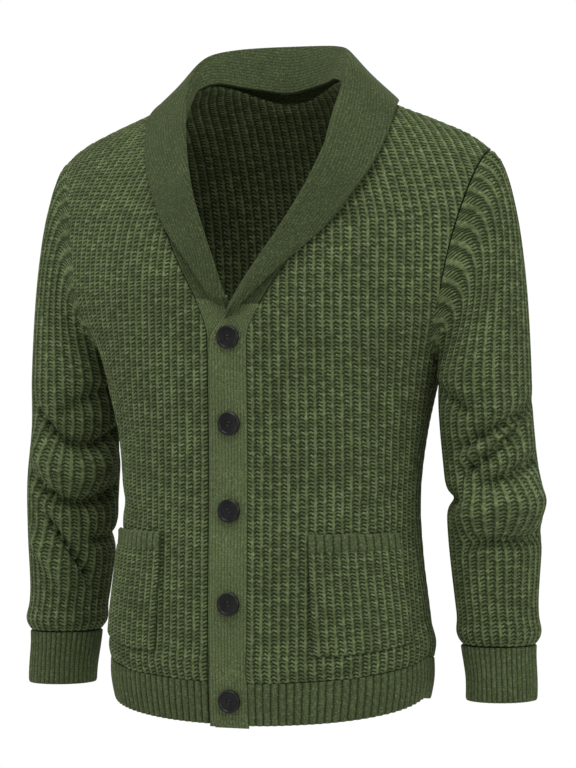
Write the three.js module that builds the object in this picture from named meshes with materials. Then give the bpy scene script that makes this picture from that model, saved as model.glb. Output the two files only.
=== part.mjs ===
import * as THREE from "three";

// Shawl collar cardigan, worn shape on an invisible figure, in mm.
// +X is the wearer's left, -Y the front, +Z up; the origin is on the centre plane at the base of the neck.
const SEAM = 0.3;
const WALL = 2.4;
const RIB = 1.5;
const CHEST_Z = -230;
const UNDERARM_Z = -305;
const RIDGE_Y = 8;
const ROUNDNESS = 2.3;
const QUARTER = 246;
const FRONT_RIBS = 26;
const BACK_RIBS = 56;
const SLEEVE_RIBS = 38;
const CUFF_RIBS = 30;
const HEM_TALL = 45;
const LAP = 3.4;

// Torso sections from hem to chest: half width, depths in front and behind, flare of the outer columns.
const BODY = [
  { z: -720, half: 169, front: 106, back: 110, flare: 0 },
  { z: -690, half: 174, front: 109, back: 114, flare: 0 },
  { z: -645, half: 181, front: 113, back: 120, flare: 0 },
  { z: -585, half: 177, front: 114, back: 121, flare: 0 },
  { z: -520, half: 169, front: 113, back: 117, flare: 0 },
  { z: -455, half: 166, front: 112, back: 113, flare: 0 },
  { z: -390, half: 173, front: 112, back: 115, flare: 0 },
  { z: -320, half: 187, front: 114, back: 122, flare: 2 },
  { z: -290, half: 190, front: 115, back: 125, flare: 10 },
  { z: -260, half: 194, front: 116, back: 127, flare: 28 },
  { z: -230, half: 197, front: 116, back: 129, flare: 42 },
];
// Shoulder line: height over the half width.
const RIDGE = [
  { x: 0, z: 16 },
  { x: 40, z: 12 },
  { x: 82, z: 0 },
  { x: 137, z: -26 },
  { x: 195, z: -49 },
  { x: 228, z: -64 },
  { x: 252, z: -81 },
  { x: 262, z: -92 },
];
// Neckline seam in front: half width over height.
const NECKLINE = [
  { z: -300, x: 20 },
  { z: -274, x: 22 },
  { z: -242, x: 38 },
  { z: -209, x: 59 },
  { z: -172, x: 79 },
  { z: -140, x: 92 },
];
// Sleeve sections below the underarm: centre, half width and half depth.
const ARM = [
  { z: -330, x: 242, y: 14, wide: 48, deep: 64 },
  { z: -380, x: 244, y: 17, wide: 48, deep: 62 },
  { z: -440, x: 250, y: 18, wide: 49, deep: 59 },
  { z: -500, x: 252, y: 20, wide: 48, deep: 56 },
  { z: -560, x: 254, y: 19, wide: 43, deep: 51 },
  { z: -592, x: 257, y: 17, wide: 41, deep: 48 },
  { z: -609, x: 258, y: 16, wide: 39, deep: 44 },
  { z: -640, x: 260, y: 15, wide: 37, deep: 42 },
  { z: -669, x: 261, y: 14, wide: 36.5, deep: 41 },
];
// Collar stations from the centre back to the V: roll line, free edge of the fall, neckline seam.
const COLLAR = [
  { u: 0.0, rx: 0, ry: 72, rz: 46, ex: 0, ey: 104, ez: -14, sx: 0, sy: 55, sz: -4 },
  { u: 0.1, rx: 50, ry: 58, rz: 43, ex: 72, ey: 88, ez: -18, sx: 43, sy: 40, sz: -1 },
  { u: 0.2, rx: 82, ry: 26, rz: 33, ex: 126, ey: 44, ez: -22, sx: 71, sy: 14, sz: 3 },
  { u: 0.3, rx: 93, ry: -6, rz: 10, ex: 143, ey: -4, ez: -28, sx: 79, sy: -16, sz: -8 },
  { u: 0.42, rx: 91, ry: -44, rz: -32, ex: 142, ey: -34, ez: -56, sx: 78, sy: -50, sz: -44 },
  { u: 0.54, rx: 82, ry: -74, rz: -76, ex: 134, ey: -62, ez: -90, sx: 78, sy: -76, sz: -86 },
  { u: 0.66, rx: 67, ry: -99, rz: -122, ex: 118, ey: -84, ez: -124, sx: 77, sy: -94, sz: -124 },
  { u: 0.78, rx: 46, ry: -112, rz: -166, ex: 93, ey: -100, ez: -163, sx: 77, sy: -104, sz: -168 },
  { u: 0.9, rx: 20, ry: -120, rz: -212, ex: 52, ey: -112, ez: -206, sx: 56, sy: -112, sz: -212 },
  { u: 1.0, rx: 3, ry: -121, rz: -245.5, ex: 14, ey: -116, ez: -248, sx: 36, sy: -114, sz: -245.5 },
];
// Sideways set of the neck opening toward the wearer's left.
const NECK_SET = [
  { z: -250, x: 0 },
  { z: -180, x: 10 },
  { z: -110, x: 13 },
  { z: -50, x: 9 },
  { z: 10, x: 0 },
  { z: 60, x: -4 },
];
// Sleeve folds: middle as a turn in degrees (0 outer, 90 front) and a height, turn spanned, rise over the span,
// lift of both ends, half width, depth.
const FOLDS_LEFT = [
  { turn: 42, z: -374, span: 130, rise: -48, bow: 0, width: 10, depth: -6 },
  { turn: 50, z: -387, span: 115, rise: -50, bow: 0, width: 8, depth: 4 },
  { turn: 60, z: -399, span: 100, rise: -54, bow: 0, width: 9, depth: -6 },
  { turn: 34, z: -424, span: 105, rise: -30, bow: 0, width: 10, depth: -6 },
  { turn: 50, z: -462, span: 150, rise: -18, bow: 0, width: 18, depth: 5 },
  { turn: 47, z: -495, span: 140, rise: -11, bow: 0, width: 10, depth: -5 },
  { turn: 170, z: -452, span: 110, rise: 20, bow: 8, width: 12, depth: -6 },
  { turn: 250, z: -405, span: 120, rise: -20, bow: -10, width: 16, depth: -5 },
  { turn: 255, z: -470, span: 120, rise: 24, bow: 8, width: 15, depth: -5 },
  { turn: 130, z: -340, span: 90, rise: 44, bow: 0, width: 14, depth: -4 },
];
const FOLDS_RIGHT = [
  { turn: 122, z: -400, span: 130, rise: -22, bow: 32, width: 10, depth: -6 },
  { turn: 118, z: -430, span: 130, rise: -16, bow: 26, width: 16, depth: 5 },
  { turn: 122, z: -464, span: 140, rise: -14, bow: 24, width: 11, depth: -7 },
  { turn: 116, z: -517, span: 75, rise: -73, bow: 0, width: 10, depth: -6 },
  { turn: 90, z: -530, span: 70, rise: -60, bow: 0, width: 14, depth: 4 },
  { turn: 190, z: -505, span: 90, rise: 14, bow: 6, width: 12, depth: -5 },
  { turn: 255, z: -398, span: 120, rise: 22, bow: 10, width: 16, depth: -5 },
  { turn: 280, z: -466, span: 120, rise: -20, bow: -8, width: 15, depth: -5 },
  { turn: 140, z: -345, span: 90, rise: 40, bow: 0, width: 14, depth: -4 },
];
const BUTTON_Z = [-281, -373, -466, -565, -668];
const SLEEVE_ROWS = [0, 0.34, 0.68, 1, 1.22, 1.4, 1.49, 1.58, 1.67, 1.76, 1.86, 2.02, 2.3, 2.65, 3];

const clamp = (v, low, high) => Math.min(high, Math.max(low, v));
const mix = (a, b, t) => a + (b - a) * t;
const ease = (t) => {
  const s = clamp(t, 0, 1);
  return s * s * (3 - 2 * s);
};
const add = (a, b, k = 1) => [a[0] + b[0] * k, a[1] + b[1] * k, a[2] + b[2] * k];
const sub = (a, b) => add(a, b, -1);
const blend = (a, b, t) => a.map((v, i) => mix(v, b[i], t));
const cross = (a, b) => [a[1] * b[2] - a[2] * b[1], a[2] * b[0] - a[0] * b[2], a[0] * b[1] - a[1] * b[0]];
const size = (a) => Math.hypot(...a);
const unit = (a) => a.map((v) => v / size(a));

// Smooth value of one named column of a table at a place on its key column.
function read(rows, key, name, at) {
  const up = rows[0][key] < rows[rows.length - 1][key];
  let i = 0;
  while (i < rows.length - 2 && (up ? rows[i + 1][key] < at : rows[i + 1][key] > at)) i++;
  const a = rows[i];
  const b = rows[i + 1];
  const before = rows[Math.max(0, i - 1)];
  const after = rows[Math.min(rows.length - 1, i + 2)];
  const t = clamp((at - a[key]) / (b[key] - a[key]), 0, 1);
  const step = b[key] - a[key];
  const from = ((b[name] - before[name]) / (b[key] - before[key])) * step;
  const to = ((after[name] - a[name]) / (after[key] - a[key])) * step;
  const t2 = t * t;
  const t3 = t2 * t;
  return (2 * t3 - 3 * t2 + 1) * a[name] + (t3 - 2 * t2 + t) * from + (3 * t2 - 2 * t3) * b[name] + (t3 - t2) * to;
}

// Angle at each share of the arc of a quarter section, so that the ribs are evenly wide.
const ARC = (() => {
  const steps = 240;
  const lengths = [0];
  let last = [0, -114];
  for (let i = 1; i <= steps; i++) {
    const angle = (i / steps) * (Math.PI / 2);
    const point = [181 * Math.sin(angle) ** (2 / ROUNDNESS), -114 * Math.cos(angle) ** (2 / ROUNDNESS)];
    lengths.push(lengths[i - 1] + Math.hypot(point[0] - last[0], point[1] - last[1]));
    last = point;
  }
  return lengths.map((v) => v / lengths[steps]);
})();

function angleAt(share) {
  const s = clamp(share, 0, 1);
  let i = 1;
  while (i < ARC.length - 1 && ARC[i] < s) i++;
  const t = (s - ARC[i - 1]) / (ARC[i] - ARC[i - 1]);
  return ((i - 1 + t) / (ARC.length - 1)) * (Math.PI / 2);
}

// Torso point at a share of the quarter girth and a height along the rib; past CHEST_Z the rib bends over to the ridge.
function torso(share, height, behind) {
  const z = Math.min(height, CHEST_Z);
  const angle = angleAt(Math.abs(share));
  const across = Math.sin(angle) ** (2 / ROUNDNESS);
  const along = Math.max(0, Math.cos(angle)) ** (2 / ROUNDNESS);
  const x = read(BODY, "z", "half", z) * across + read(BODY, "z", "flare", z) * across ** 5;
  const y = behind ? read(BODY, "z", "back", z) * along : -read(BODY, "z", "front", z) * along;
  const side = share < 0 ? -1 : 1;
  if (height <= CHEST_Z) return [side * x, y, height];
  const topX = x * (1 + 0.17 * (x / 212) ** 2);
  const topZ = read(RIDGE, "x", "z", topX);
  const reach = RIDGE_Y - y;
  const rise = topZ - CHEST_Z;
  const a = clamp((height - CHEST_Z) / (1.06 * Math.hypot(reach, rise)), 0, 1);
  const foot = behind ? 0.5 : 0.36;
  const crown = behind ? 0.46 : 0.4;
  const turned = 3 * (1 - a) * a * a * (1 - crown) + a ** 3;
  const raised = 3 * (1 - a) ** 2 * a * foot + 3 * (1 - a) * a * a + a ** 3;
  const spread = mix(a, ease(a), 0.4);
  return [side * mix(x, topX, spread), y + reach * turned, CHEST_Z + rise * raised];
}

function torsoTop(share, behind) {
  const start = torso(share, CHEST_Z, behind);
  const topX = Math.abs(start[0]) * (1 + 0.17 * (start[0] / 212) ** 2);
  return CHEST_Z + 1.06 * Math.hypot(RIDGE_Y - start[1], read(RIDGE, "x", "z", topX) - CHEST_Z);
}

// Outward direction of the torso at a point of it.
function torsoOut(share, height, behind) {
  const s = clamp(Math.abs(share), 0.004, 0.996) * (share < 0 ? -1 : 1);
  const wide = sub(torso(s + 0.003, height, behind), torso(s - 0.003, height, behind));
  const tall = sub(torso(s, height + 0.5, behind), torso(s, height - 1.5, behind));
  const n = cross(wide, tall).map((v) => (behind ? -v : v));
  const nearSeam = Math.max(ease((Math.abs(share) - 0.955) / 0.04), ease(1 - (torsoTop(s, behind) - height) / 9));
  n[1] *= 1 - nearSeam;
  return unit(n);
}

const torsoSkin = (share, height, behind, out) =>
  add(torso(share, height, behind), torsoOut(share, height, behind), out);

// Share of the quarter girth where the front stands at a given x.
function shareAt(x, height) {
  let low = 0;
  let high = 1;
  for (let i = 0; i < 30; i++) {
    const middle = (low + high) / 2;
    if (torso(middle, height, false)[0] < Math.abs(x)) low = middle;
    else high = middle;
  }
  return x < 0 ? -low : low;
}

// Share and height of the torso point nearest to a wanted point.
function nearest(point, behind) {
  let best = { share: 0.5, height: -150, gap: Infinity };
  const side = point[0] < 0 ? -1 : 1;
  for (let step = 0.08, tall = 24, pass = 0; pass < 9; pass++, step /= 2, tall /= 2) {
    const reach = pass ? 2 : 14;
    const middle = { ...best };
    for (let i = -reach; i <= reach; i++)
      for (let j = -reach; j <= reach; j++) {
        const share = clamp(middle.share + (i * step) / 2, 0, 0.999);
        const height = middle.height + (j * tall) / 2;
        if (height > torsoTop(share, behind)) continue;
        const gap = size(sub(torso(side * share, height, behind), point));
        if (gap < best.gap) best = { share, height, gap };
      }
  }
  return { ...best, share: side * best.share };
}

// Closed body built from lists of points; a wall joins an outer edge to an inner one with any number of points.
class Body {
  constructor(name) {
    this.name = name;
    this.points = [];
    this.faces = [];
  }
  point(p) {
    this.points.push(p);
    return this.points.length - 1;
  }
  face(a, b, c) {
    this.faces.push([a, b, c]);
  }
  quad(a, b, c, d) {
    if (size(sub(this.points[a], this.points[c])) <= size(sub(this.points[b], this.points[d]))) {
      this.face(a, b, c);
      this.face(a, c, d);
    } else {
      this.face(a, b, d);
      this.face(b, c, d);
    }
  }
  wall(outer, inner) {
    let i = 0;
    let k = 0;
    while (i < outer.length - 1 || k < inner.length - 1) {
      const nextOuter = (i + 1) / (outer.length - 1 || 1);
      const nextInner = (k + 1) / (inner.length - 1 || 1);
      if (k === inner.length - 1 || (i < outer.length - 1 && nextOuter <= nextInner)) {
        this.face(outer[i + 1], outer[i], inner[k]);
        i++;
      } else {
        this.face(outer[i], inner[k], inner[k + 1]);
        k++;
      }
    }
  }
  mesh(material) {
    let volume = 0;
    for (const [a, b, c] of this.faces) {
      const [p, q, r] = [this.points[a], this.points[b], this.points[c]];
      const n = cross(q, r);
      volume += p[0] * n[0] + p[1] * n[1] + p[2] * n[2];
    }
    const faces = volume < 0 ? this.faces.map(([a, b, c]) => [a, c, b]) : this.faces;
    const geometry = new THREE.BufferGeometry();
    geometry.setAttribute("position", new THREE.Float32BufferAttribute(this.points.flat(), 3));
    geometry.setIndex(faces.flat());
    geometry.computeVertexNormals();
    const mesh = new THREE.Mesh(geometry, material);
    mesh.name = this.name;
    return mesh;
  }
}

const steps = (from, to, count) => Array.from({ length: count + 1 }, (_, i) => mix(from, to, i / count));

// Open panel: columns run across, rows up; each column has its own number of rows.
function panel(name, outerColumns, innerColumns, place, material, rowsAt) {
  const body = new Body(name);
  const grid = (columns, outer) =>
    columns.map((column, i) =>
      Array.from({ length: rowsAt(column) + 1 }, (_, j) => body.point(place(column, j, outer, i))),
    );
  const fill = (points, turned) => {
    for (let i = 0; i < points.length - 1; i++)
      for (let j = 0; j < Math.min(points[i].length, points[i + 1].length) - 1; j++) {
        const ring = [points[i][j], points[i + 1][j], points[i + 1][j + 1], points[i][j + 1]];
        if (turned) ring.reverse();
        body.quad(...ring);
      }
  };
  const outer = grid(outerColumns, true);
  const inner = grid(innerColumns, false);
  fill(outer, false);
  fill(inner, true);
  const edges = (points) => {
    const last = points.length - 1;
    const rows = points.map((p) => p.length - 1);
    const across = (from, to, row) => points.slice(from, to + 1).map((p) => p[row]).reverse();
    const list = [points.map((p) => p[0]), points[last].slice()];
    let from = last;
    for (let i = last; i > 0; i--) {
      if (rows[i - 1] === rows[i]) continue;
      if (rows[i - 1] > rows[i]) {
        list.push(across(i - 1, from, rows[i]));
        list.push(points[i - 1].slice(rows[i]));
        from = i - 1;
      } else {
        list.push(across(i, from, rows[i]));
        list.push(points[i].slice(rows[i - 1]).reverse());
        from = i;
      }
    }
    list.push(across(0, from, rows[0]));
    list.push(points[0].slice().reverse());
    return list;
  };
  const outerEdges = edges(outer);
  const innerEdges = edges(inner);
  outerEdges.forEach((edge, i) => body.wall(edge, innerEdges[i]));
  return body.mesh(material);
}

// Closed tube: outer and inner rings of points joined at both ends.
function tube(name, outerCount, innerCount, rows, place, material) {
  const body = new Body(name);
  const grid = (count, outer) =>
    Array.from({ length: count }, (_, i) => rows.map((row, j) => body.point(place(i / count, j, outer, i))));
  const fill = (points, turned) => {
    for (let i = 0; i < points.length; i++)
      for (let j = 0; j < rows.length - 1; j++) {
        const next = points[(i + 1) % points.length];
        const ring = [points[i][j], next[j], next[j + 1], points[i][j + 1]];
        if (turned) ring.reverse();
        body.quad(...ring);
      }
  };
  const outer = grid(outerCount, true);
  const inner = grid(innerCount, false);
  fill(outer, false);
  fill(inner, true);
  const ring = (points, row) => [...points, points[0]].map((p) => p[row]);
  body.wall(ring(outer, 0), ring(inner, 0));
  body.wall(ring(outer, rows.length - 1).reverse(), ring(inner, rows.length - 1).reverse());
  return body.mesh(material);
}

// Cut plan shared by the panels.
const STEP = 40 / (2 * FRONT_RIBS);
const ARM_SHARE = 0.79;
const ARM_DROP = CHEST_Z - UNDERARM_Z;
const ROWS = 10;
const LOW_ROWS = 6;
const NECK_ROWS = 7;
const LEFT_NECK = 15 / (2 * FRONT_RIBS);
const RIGHT_NECK = 13 / (2 * FRONT_RIBS);
const LEFT_START = 20.3;
const RIGHT_START = 27;

const hemBottom = (share, behind) => -669 - (behind ? 15 : 25) * (1 - Math.abs(share) ** 2.2);
const hemTop = (share, behind) => hemBottom(share, behind) + HEM_TALL;

function neckX(side, z) {
  const under = side < 0 ? 7 * (1 - ease((z + 290) / 80)) : 0;
  return read(NECKLINE, "z", "x", z) + under;
}

// Height at which a front rib beside the V ends on the neckline seam.
function neckTop(share, side, most) {
  const open = (height) => {
    const p = torso(share, height, false);
    return p[0] < neckX(side, p[2]);
  };
  let high = -300;
  while (high < most && !open(high)) high += 6;
  if (high >= most) return most;
  let low = high - 6;
  for (let i = 0; i < 24; i++) {
    const middle = (low + high) / 2;
    if (open(middle)) high = middle;
    else low = middle;
  }
  return low;
}

// Height at which a back rib ends.
function backTop(share) {
  const ridge = torsoTop(share, true);
  const edge = (x) => RIDGE_Y + 54 * (1 - (x / 84) ** 2);
  let low = CHEST_Z;
  let high = ridge;
  const top = torso(share, ridge, true);
  if (Math.abs(top[0]) >= 84) return ridge - SEAM / 2;
  for (let i = 0; i < 30; i++) {
    const middle = (low + high) / 2;
    const p = torso(share, middle, true);
    if (p[1] < edge(p[0])) high = middle;
    else low = middle;
  }
  return low;
}

const armholeHeight = (share) =>
  CHEST_Z - ARM_DROP * Math.sqrt(Math.max(0, 1 - ((1 - Math.abs(share)) / (1 - ARM_SHARE)) ** 2)) - SEAM / 2;

// Point of the front rib beside the neck at a wanted height.
function neckEdge(side, z) {
  const share = frontShare(side > 0 ? LEFT_NECK : RIGHT_NECK, CHEST_Z, side);
  let low = CHEST_Z;
  let high = torsoTop(share, false);
  for (let i = 0; i < 24; i++) {
    const middle = (low + high) / 2;
    if (torso(share, middle, false)[2] < z) low = middle;
    else high = middle;
  }
  return torso(share, low, false);
}

// Height of a row on a rib that runs up to a ridge or a neckline at the given top.
function rowHeight(share, row, behind, top) {
  const foot = hemTop(share, behind) + SEAM;
  if (row <= LOW_ROWS) return mix(foot, CHEST_Z, row / LOW_ROWS);
  return mix(CHEST_Z, top, (row - LOW_ROWS) / (ROWS - LOW_ROWS));
}

const lapAt = (x, side) => (side > 0 ? LAP * (1 - ease((Math.abs(x) - 24) / 55)) : 0);

// Share of the quarter girth of a front column; column 0 runs along the band, column 1 along the side seam.
function frontShare(column, height, side) {
  const start = shareAt(side > 0 ? LEFT_START : RIGHT_START, Math.min(height, CHEST_Z));
  return mix(start, 1 - 0.0006, column);
}

function frontPoint(side, column, height, outer, raised) {
  const share = frontShare(column, height, side);
  const x = torso(share, height, false)[0];
  const p = torsoSkin(share, height, false, lapAt(x, side) + (outer ? raised : -WALL));
  return [side * p[0], p[1], p[2]];
}

const rib = (index) => (index % 2 ? RIB : 0);

function front(name, side, material) {
  const neck = side > 0 ? LEFT_NECK : RIGHT_NECK;
  const rowsAt = (column) => (column > STEP + 1e-9 ? LOW_ROWS : column < neck - 1e-9 ? NECK_ROWS : ROWS);
  const place = (column, row, outer, index) => {
    const share = frontShare(column, CHEST_Z, side);
    const rows = rowsAt(column);
    const foot = hemTop(share, false) + SEAM;
    let height = rowHeight(share, row, false, torsoTop(share, false) - SEAM / 2);
    if (rows === LOW_ROWS) height = mix(foot, armholeHeight(share), row / LOW_ROWS);
    if (rows === NECK_ROWS) {
      const most = rowHeight(share, NECK_ROWS, false, torsoTop(share, false) - SEAM / 2);
      height = foot + ((height - foot) * (neckTop(share, side, most) - foot)) / (most - foot);
    }
    return frontPoint(side, column, height, outer, rib(index));
  };
  const inner = [...steps(0, neck, 4), ...steps(neck, STEP, 6).slice(1), ...steps(STEP, 1, 3).slice(1)];
  return panel(name, steps(0, 1, 2 * FRONT_RIBS), inner, place, material, rowsAt);
}

const BACK_STEP = 44 / 56;
const INNER_BACK = [
  ...steps(-1, -BACK_STEP, 3),
  ...steps(-BACK_STEP, BACK_STEP, 22).slice(1),
  ...steps(BACK_STEP, 1, 3).slice(1),
];

function back(name, material) {
  const rowsAt = (column) => (Math.abs(column) > BACK_STEP + 1e-9 ? LOW_ROWS : ROWS);
  const place = (column, row, outer, index) => {
    const share = column * (1 - 0.0006);
    const foot = hemTop(share, true) + SEAM;
    const onShoulder = rowsAt(column) === ROWS;
    const height = onShoulder
      ? rowHeight(share, row, true, backTop(share))
      : mix(foot, armholeHeight(share), row / LOW_ROWS);
    return torsoSkin(share, height, true, outer ? rib(index) : -WALL);
  };
  return panel(name, steps(-1, 1, 2 * BACK_RIBS), INNER_BACK, place, material, rowsAt);
}

function hem(name, side, material) {
  const place = (column, row, outer, index) => {
    const behind = side === 0;
    const share = behind ? column * (1 - 0.0006) : frontShare(column, CHEST_Z, side);
    const low = hemBottom(share, behind);
    const height = mix(low, low + HEM_TALL, row / 2);
    const raised = rib(index) * 0.9 + (row === 1 ? 0.6 : 0);
    if (behind) return torsoSkin(share, height, true, outer ? raised : -WALL);
    return frontPoint(side, column, height, outer, raised);
  };
  const columns = side === 0 ? steps(-1, 1, 2 * BACK_RIBS) : steps(0, 1, 2 * FRONT_RIBS);
  const inner = side === 0 ? steps(-1, 1, 28) : steps(0, 1, 13);
  return panel(name, columns, inner, place, material, () => 2);
}

// Front band: half of it outlines beside the seam, the free edge turns into the roll line at the V.
function band(name, side, material) {
  const rows = [-697, -660, -620, -580, -540, -500, -460, -420, -380, -340, -310, -290, -275, -262, -251, -243];
  const end = side > 0 ? -246 : -236.6;
  const place = (column, row) => (outer) => {
    const z = Math.min(rows[row], end);
    const seam = side * Math.max(side > 0 ? LEFT_START : RIGHT_START, neckX(side, z)) - side * SEAM;
    const freeLow = side > 0 ? -23 : 16;
    const free = mix(freeLow, side > 0 ? 0.5 : -3, ease((z + 292) / 46) ** 1.4);
    const x = mix(free, seam, column);
    const share = shareAt(x, z);
    const level = side > 0 ? (outer ? 4.2 : 1) : outer ? 0.4 : -WALL;
    return torsoSkin(share, z, false, level);
  };
  const at = (column, row, outer) => place(column, row)(outer);
  return panel(name, steps(0, 1, 5), steps(0, 1, 5), at, material, () => rows.length - 1);
}

// Armhole edge from the shoulder top round the front, the underarm and the back, with a set back into the armhole.
function armhole(turn, set) {
  const behind = turn > 0.5;
  const half = behind ? 1 - turn : turn;
  const share = ARM_SHARE + set / QUARTER;
  const top = torsoTop(ARM_SHARE, behind);
  const long = top - CHEST_Z;
  const low = 96;
  const along = half * 2 * (long + low);
  if (along <= long) return { share, height: top - along, behind };
  const angle = (((along - long) / low) * Math.PI) / 2;
  return {
    share: Math.min(0.9995, 1 - (1 - share) * Math.cos(angle)),
    height: CHEST_Z - (ARM_DROP - set) * Math.sin(angle),
    behind,
  };
}

function foldAt(folds, turn, z) {
  let sum = 0;
  for (const fold of folds) {
    const away = ((turn * 360 - fold.turn + 540) % 360) - 180;
    const q = away / fold.span;
    if (Math.abs(q) > 0.62) continue;
    const middle = fold.z + fold.rise * q + fold.bow * 4 * q * q;
    const fade = 1 - ease((Math.abs(q) - 0.3) / 0.32);
    sum += fold.depth * fade * Math.exp(-(((z - middle) / fold.width) ** 2));
  }
  return sum;
}

const ARM_TOP_Z = -330;
const CUFF_Z = -609;

// Sleeve line from the armhole to the cuff: part 0 to 1 above the underarm, 1 to 3 down the arm.
function sleeveLine(turn, part) {
  const angle = turn * 2 * Math.PI;
  const ring = (z) => [
    read(ARM, "z", "x", z) + read(ARM, "z", "wide", z) * Math.cos(angle),
    read(ARM, "z", "y", z) - read(ARM, "z", "deep", z) * Math.sin(angle),
    z,
  ];
  if (part >= 1) return ring(mix(ARM_TOP_Z, CUFF_Z, (part - 1) / 2));
  const edge = armhole(turn, 2 * SEAM);
  const from = torso(edge.share, edge.height, edge.behind);
  const to = ring(ARM_TOP_Z);
  const far = size(sub(to, from));
  const outer = (1 + Math.cos(angle)) / 2;
  const inside = armhole(turn, 2 * SEAM + 3);
  const lead = unit(sub(torso(inside.share, inside.height, inside.behind), from));
  const p1 = add(from, lead, far * mix(0.6, 0.16, outer));
  const p2 = add(to, [-0.03 * outer, 0, 1], far * mix(0.25, 0.5, outer));
  const t = part;
  const k = [(1 - t) ** 3, 3 * (1 - t) ** 2 * t, 3 * (1 - t) * t * t, t ** 3];
  return [0, 1, 2].map((i) => k[0] * from[i] + k[1] * p1[i] + k[2] * p2[i] + k[3] * to[i]);
}

function sleeveOut(turn, part) {
  const around = sub(sleeveLine(turn + 0.004, part), sleeveLine(turn - 0.004, part));
  const down = sub(sleeveLine(turn, Math.min(3, part + 0.02)), sleeveLine(turn, Math.max(0, part - 0.02)));
  const free = unit(cross(down, around));
  if (part > 0) return free;
  const edge = armhole(turn, 2 * SEAM);
  return torsoOut(edge.share, edge.height, edge.behind);
}

function sleeve(name, side, folds, material) {
  const place = (turn, row, outer, index) => {
    const part = SLEEVE_ROWS[row];
    const p = sleeveLine(turn, part);
    const fold = part > 0.99 ? foldAt(folds, turn, p[2]) * ease((part - 1) / 0.3) : 0;
    const raised = outer ? (index % 2 ? RIB : 0) : -WALL;
    const q = add(p, sleeveOut(turn, part), raised + fold);
    return [side * q[0], q[1], q[2]];
  };
  return tube(name, 2 * SLEEVE_RIBS, 20, SLEEVE_ROWS, place, material);
}

function cuff(name, side, material) {
  const rows = [CUFF_Z - 1.2, -638, -668.5];
  const place = (turn, row, outer, index) => {
    const z = rows[row];
    const angle = turn * 2 * Math.PI;
    const out = outer ? (index % 2 ? 1.2 : 0) : -WALL;
    const wide = read(ARM, "z", "wide", z) + out;
    const deep = read(ARM, "z", "deep", z) + out;
    const x = read(ARM, "z", "x", z) + wide * Math.cos(angle);
    const y = read(ARM, "z", "y", z) - deep * Math.sin(angle);
    return [side * x, y, z];
  };
  return tube(name, 2 * CUFF_RIBS, 24, rows, place, material);
}

function pocket(name, side, material) {
  const tall = 128;
  const inner = shareAt(87, -550);
  const outerShare = inner + 112 / QUARTER;
  const place = (column, row, outer, index) => {
    const share = mix(inner, outerShare, column);
    const low = -618 + 12 * column * column;
    const height = mix(low, low + tall - 12 * column * column, [0, 0.3, 0.58, 0.84, 1][row]);
    const raised = row < 4 && index % 2 ? RIB : 0.2;
    const p = torsoSkin(share, height, false, outer ? 4.7 + raised : 2.5);
    return [side * p[0], p[1], p[2]];
  };
  return panel(name, steps(0, 1, 26), steps(0, 1, 9), place, material, () => 4);
}

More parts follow.
